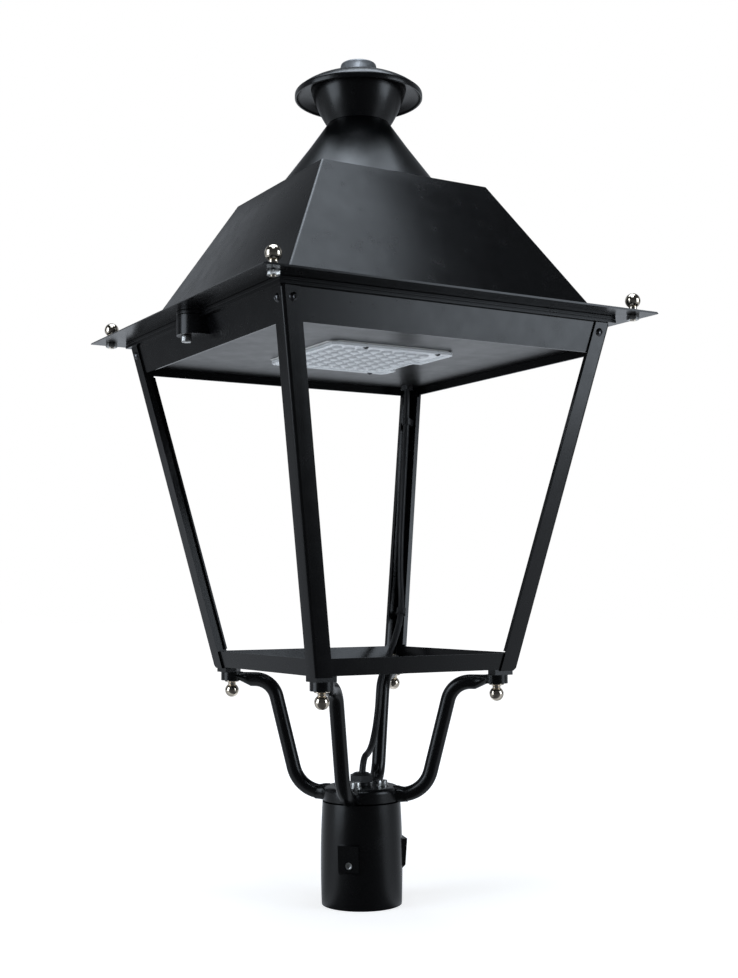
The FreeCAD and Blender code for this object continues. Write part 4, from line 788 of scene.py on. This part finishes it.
screws = {  # sizes as in each head's function: its radius and height come first
    "hub_screws": (socketHead, "hubScrew", (5.0, 5.0, 2.9, 2.9, 24), upward),
    "leg_screws": (domedHead, "legScrew", (4.3, 2.6, 1.6, 2.4, 4), offLeg),
    "lens_screws": (domedHead, "lensScrew", (3.2, 2.0, 1.2, 1.4, 5), downward),
    "clip_screws": (domedHead, "clipScrew", (2.8, 1.8, 1.1, 1.4, 4.5), insideLeg),
    "driver_screws": (domedHead, "driverScrew", (3.8, 2.4, 1.5, 1.9, 2.8), upward),
    "set_screws": (socketHead, "setScrew", (3.9, 4.0, 2.1, 3.9, 3.0), fromAxis),
    "latch_screw": (knurledHead, "latchScrew", (5.2, 7.0, 3.9, 23), downward),
    "lower_finial_nuts": (hexNut, "lowerNut", (6.6, 5.0, 3.1), upward),
    "upper_finial_nuts": (hexNut, "upperNut", (6.6, 5.0, 3.1), downward),
}
for seed, (node, (head, name, sizes, aimOf)) in enumerate(screws.items(), start=3):
    scatter(node.replace("_", "") + "Detailed", head(name, *sizes), seats(node, aimOf, sizes[1]),
            nodes[node]["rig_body"], slotOf[node], [node], math.tau, seed)
print("screws and nuts set:", len(screws))


# Optics: a moulded plate with a raised border, and one dome for each chip
optics = {
    "count": 8, "pitch": 15.0, "first": (-57.5, -52.5), "plate": 572.3,
    "radius": 6.25, "tall": 3.18, "foot": (0.5, -0.02), "sides": 24,
    "x": (-71.5, 74.0), "y": (-73.5, 72.5), "corner": 5.0, "notch": (-6.0, 47.0, 10.0),
    "border": [  # inset and height: an outer lip, a channel for the screws and an inner lip
        (0, 574.3), (0, 571.7), (0.3, 571.2), (0.7, 571.0), (1.3, 571.0), (1.7, 571.5),
        (5.0, 571.5), (5.4, 571.1), (6.0, 571.1), (6.4, 571.6), (6.5, 572.3)],
    # the border step that gets painted shade: the screw channel
    "channel": 5,
}


def lensRing(inset):
    # the plate's outline, moved in by the inset: cut corners and a wire notch
    left, right = optics["x"][0] + inset, optics["x"][1] - inset
    front, back = optics["y"][0] + inset, optics["y"][1] - inset
    cut = optics["corner"] - inset * (2 - math.sqrt(2))
    low, high, deep = optics["notch"]
    low, high, deep = low - inset, high + inset, right - deep
    return [(left + cut, front), (right - cut, front), (right, front + cut), (right, low), (deep, low),
            (deep, high), (right, high), (right, back - cut), (right - cut, back), (left + cut, back),
            (left, back - cut), (left, front + cut)]


def mouldLens():
    bm = bmesh.new()
    loops = []
    for inset, height in optics["border"]:
        loops.append([bm.verts.new((x * mm, y * mm, height * mm)) for x, y in lensRing(inset)])
    for step, (outer, inner) in enumerate(zip(loops, loops[1:])):
        for i in range(len(outer)):
            j = (i + 1) % len(outer)
            face = bm.faces.new((outer[i], outer[j], inner[j], inner[i]))
            # the screw channel takes the darker copy of the lens plastic: painted shade
            face.material_index = 1 if step == optics["channel"] else 0
    bm.faces.new(loops[0])
    field = bm.faces.new(loops[-1])
    # the field between the domes takes the darker copy too: painted shade
    field.material_index = 1
    bmesh.ops.recalc_face_normals(bm, faces=bm.faces)
    mesh = bpy.data.meshes.new("lensPlate")
    bm.to_mesh(mesh)
    bm.free()
    piece = finishPiece(addObject("lensPlate", mesh), "lantern", "lens", ["led_lens"])
    # darker copy of the lens plastic: painted shade for the field and the screw channel
    piece.data.materials.append(lensFinish("lensField", (0.48, 0.49, 0.51), (0.56, 0.57, 0.59)))


def domeMesh():
    radius, tall = optics["radius"], optics["tall"]
    bow, rim = bowOf(radius, tall)
    skirt, sunk = optics["foot"]
    rings = [(radius + skirt, sunk)] + arc((0, tall - bow), bow, 90 - rim, 90, 8)
    return turned("lensDome", rings, optics["sides"])


mouldLens()
domeSpots = []
for i in range(optics["count"]):
    for j in range(optics["count"]):
        across = optics["first"][0] + optics["pitch"] * i
        along = optics["first"][1] + optics["pitch"] * j
        domeSpots.append((Vector((across, along, optics["plate"])) * mm, Vector((0, 0, -1))))
domes = scatter("lensDomes", domeMesh(), domeSpots, "lantern", "lens")
# the domes' colour carries painted shade, darker towards each foot
domes.data.materials[0] = lensFinish("lensDome", (0.54, 0.55, 0.57), (0.82, 0.84, 0.86), paintedDomeShade=True)
print("lens domes placed:", len(domeSpots))


# Supply lead from the gland, over the back arm and up the back leg into the tray
lead = {
    "length": 0.583, "diameter": 0.007,
    "route": [  # out from the axis, across to the +X side, and up, in millimetres
        (0, 0, 98.3), (0, 0, 148), (38, 0, 152), (60, 0, 172), (75, 0, 200), (84, 0, 230), (129, 4, 263),
        (159, 8, 300), (179, 0, 352), (209.8, 0, 482.5), (223.5, 0, 540), (223.5, 0, 597.5)],
}


def runLead():
    half = math.sqrt(0.5)
    points = []
    for out, across, up in lead["route"]:
        points.append(Vector(((out + across) * half, (out - across) * half, up)) * mm)
    data = bpy.data.curves.new("supplyLead", "CURVE")
    data.dimensions = "3D"
    data.bevel_depth = lead["diameter"] / 2
    data.bevel_resolution = 5
    data.resolution_u = 10
    data.use_fill_caps = True
    line = data.splines.new("NURBS")
    line.points.add(len(points) - 1)
    for spot, point in zip(line.points, points):
        spot.co = (*point, 1)
    line.order_u = 3
    line.use_endpoint_u = True
    piece = addObject("supplyLead", data)
    finishPiece(piece, "lantern", "cable_sheath", ["supply_cable"])


runLead()
print("lead run")
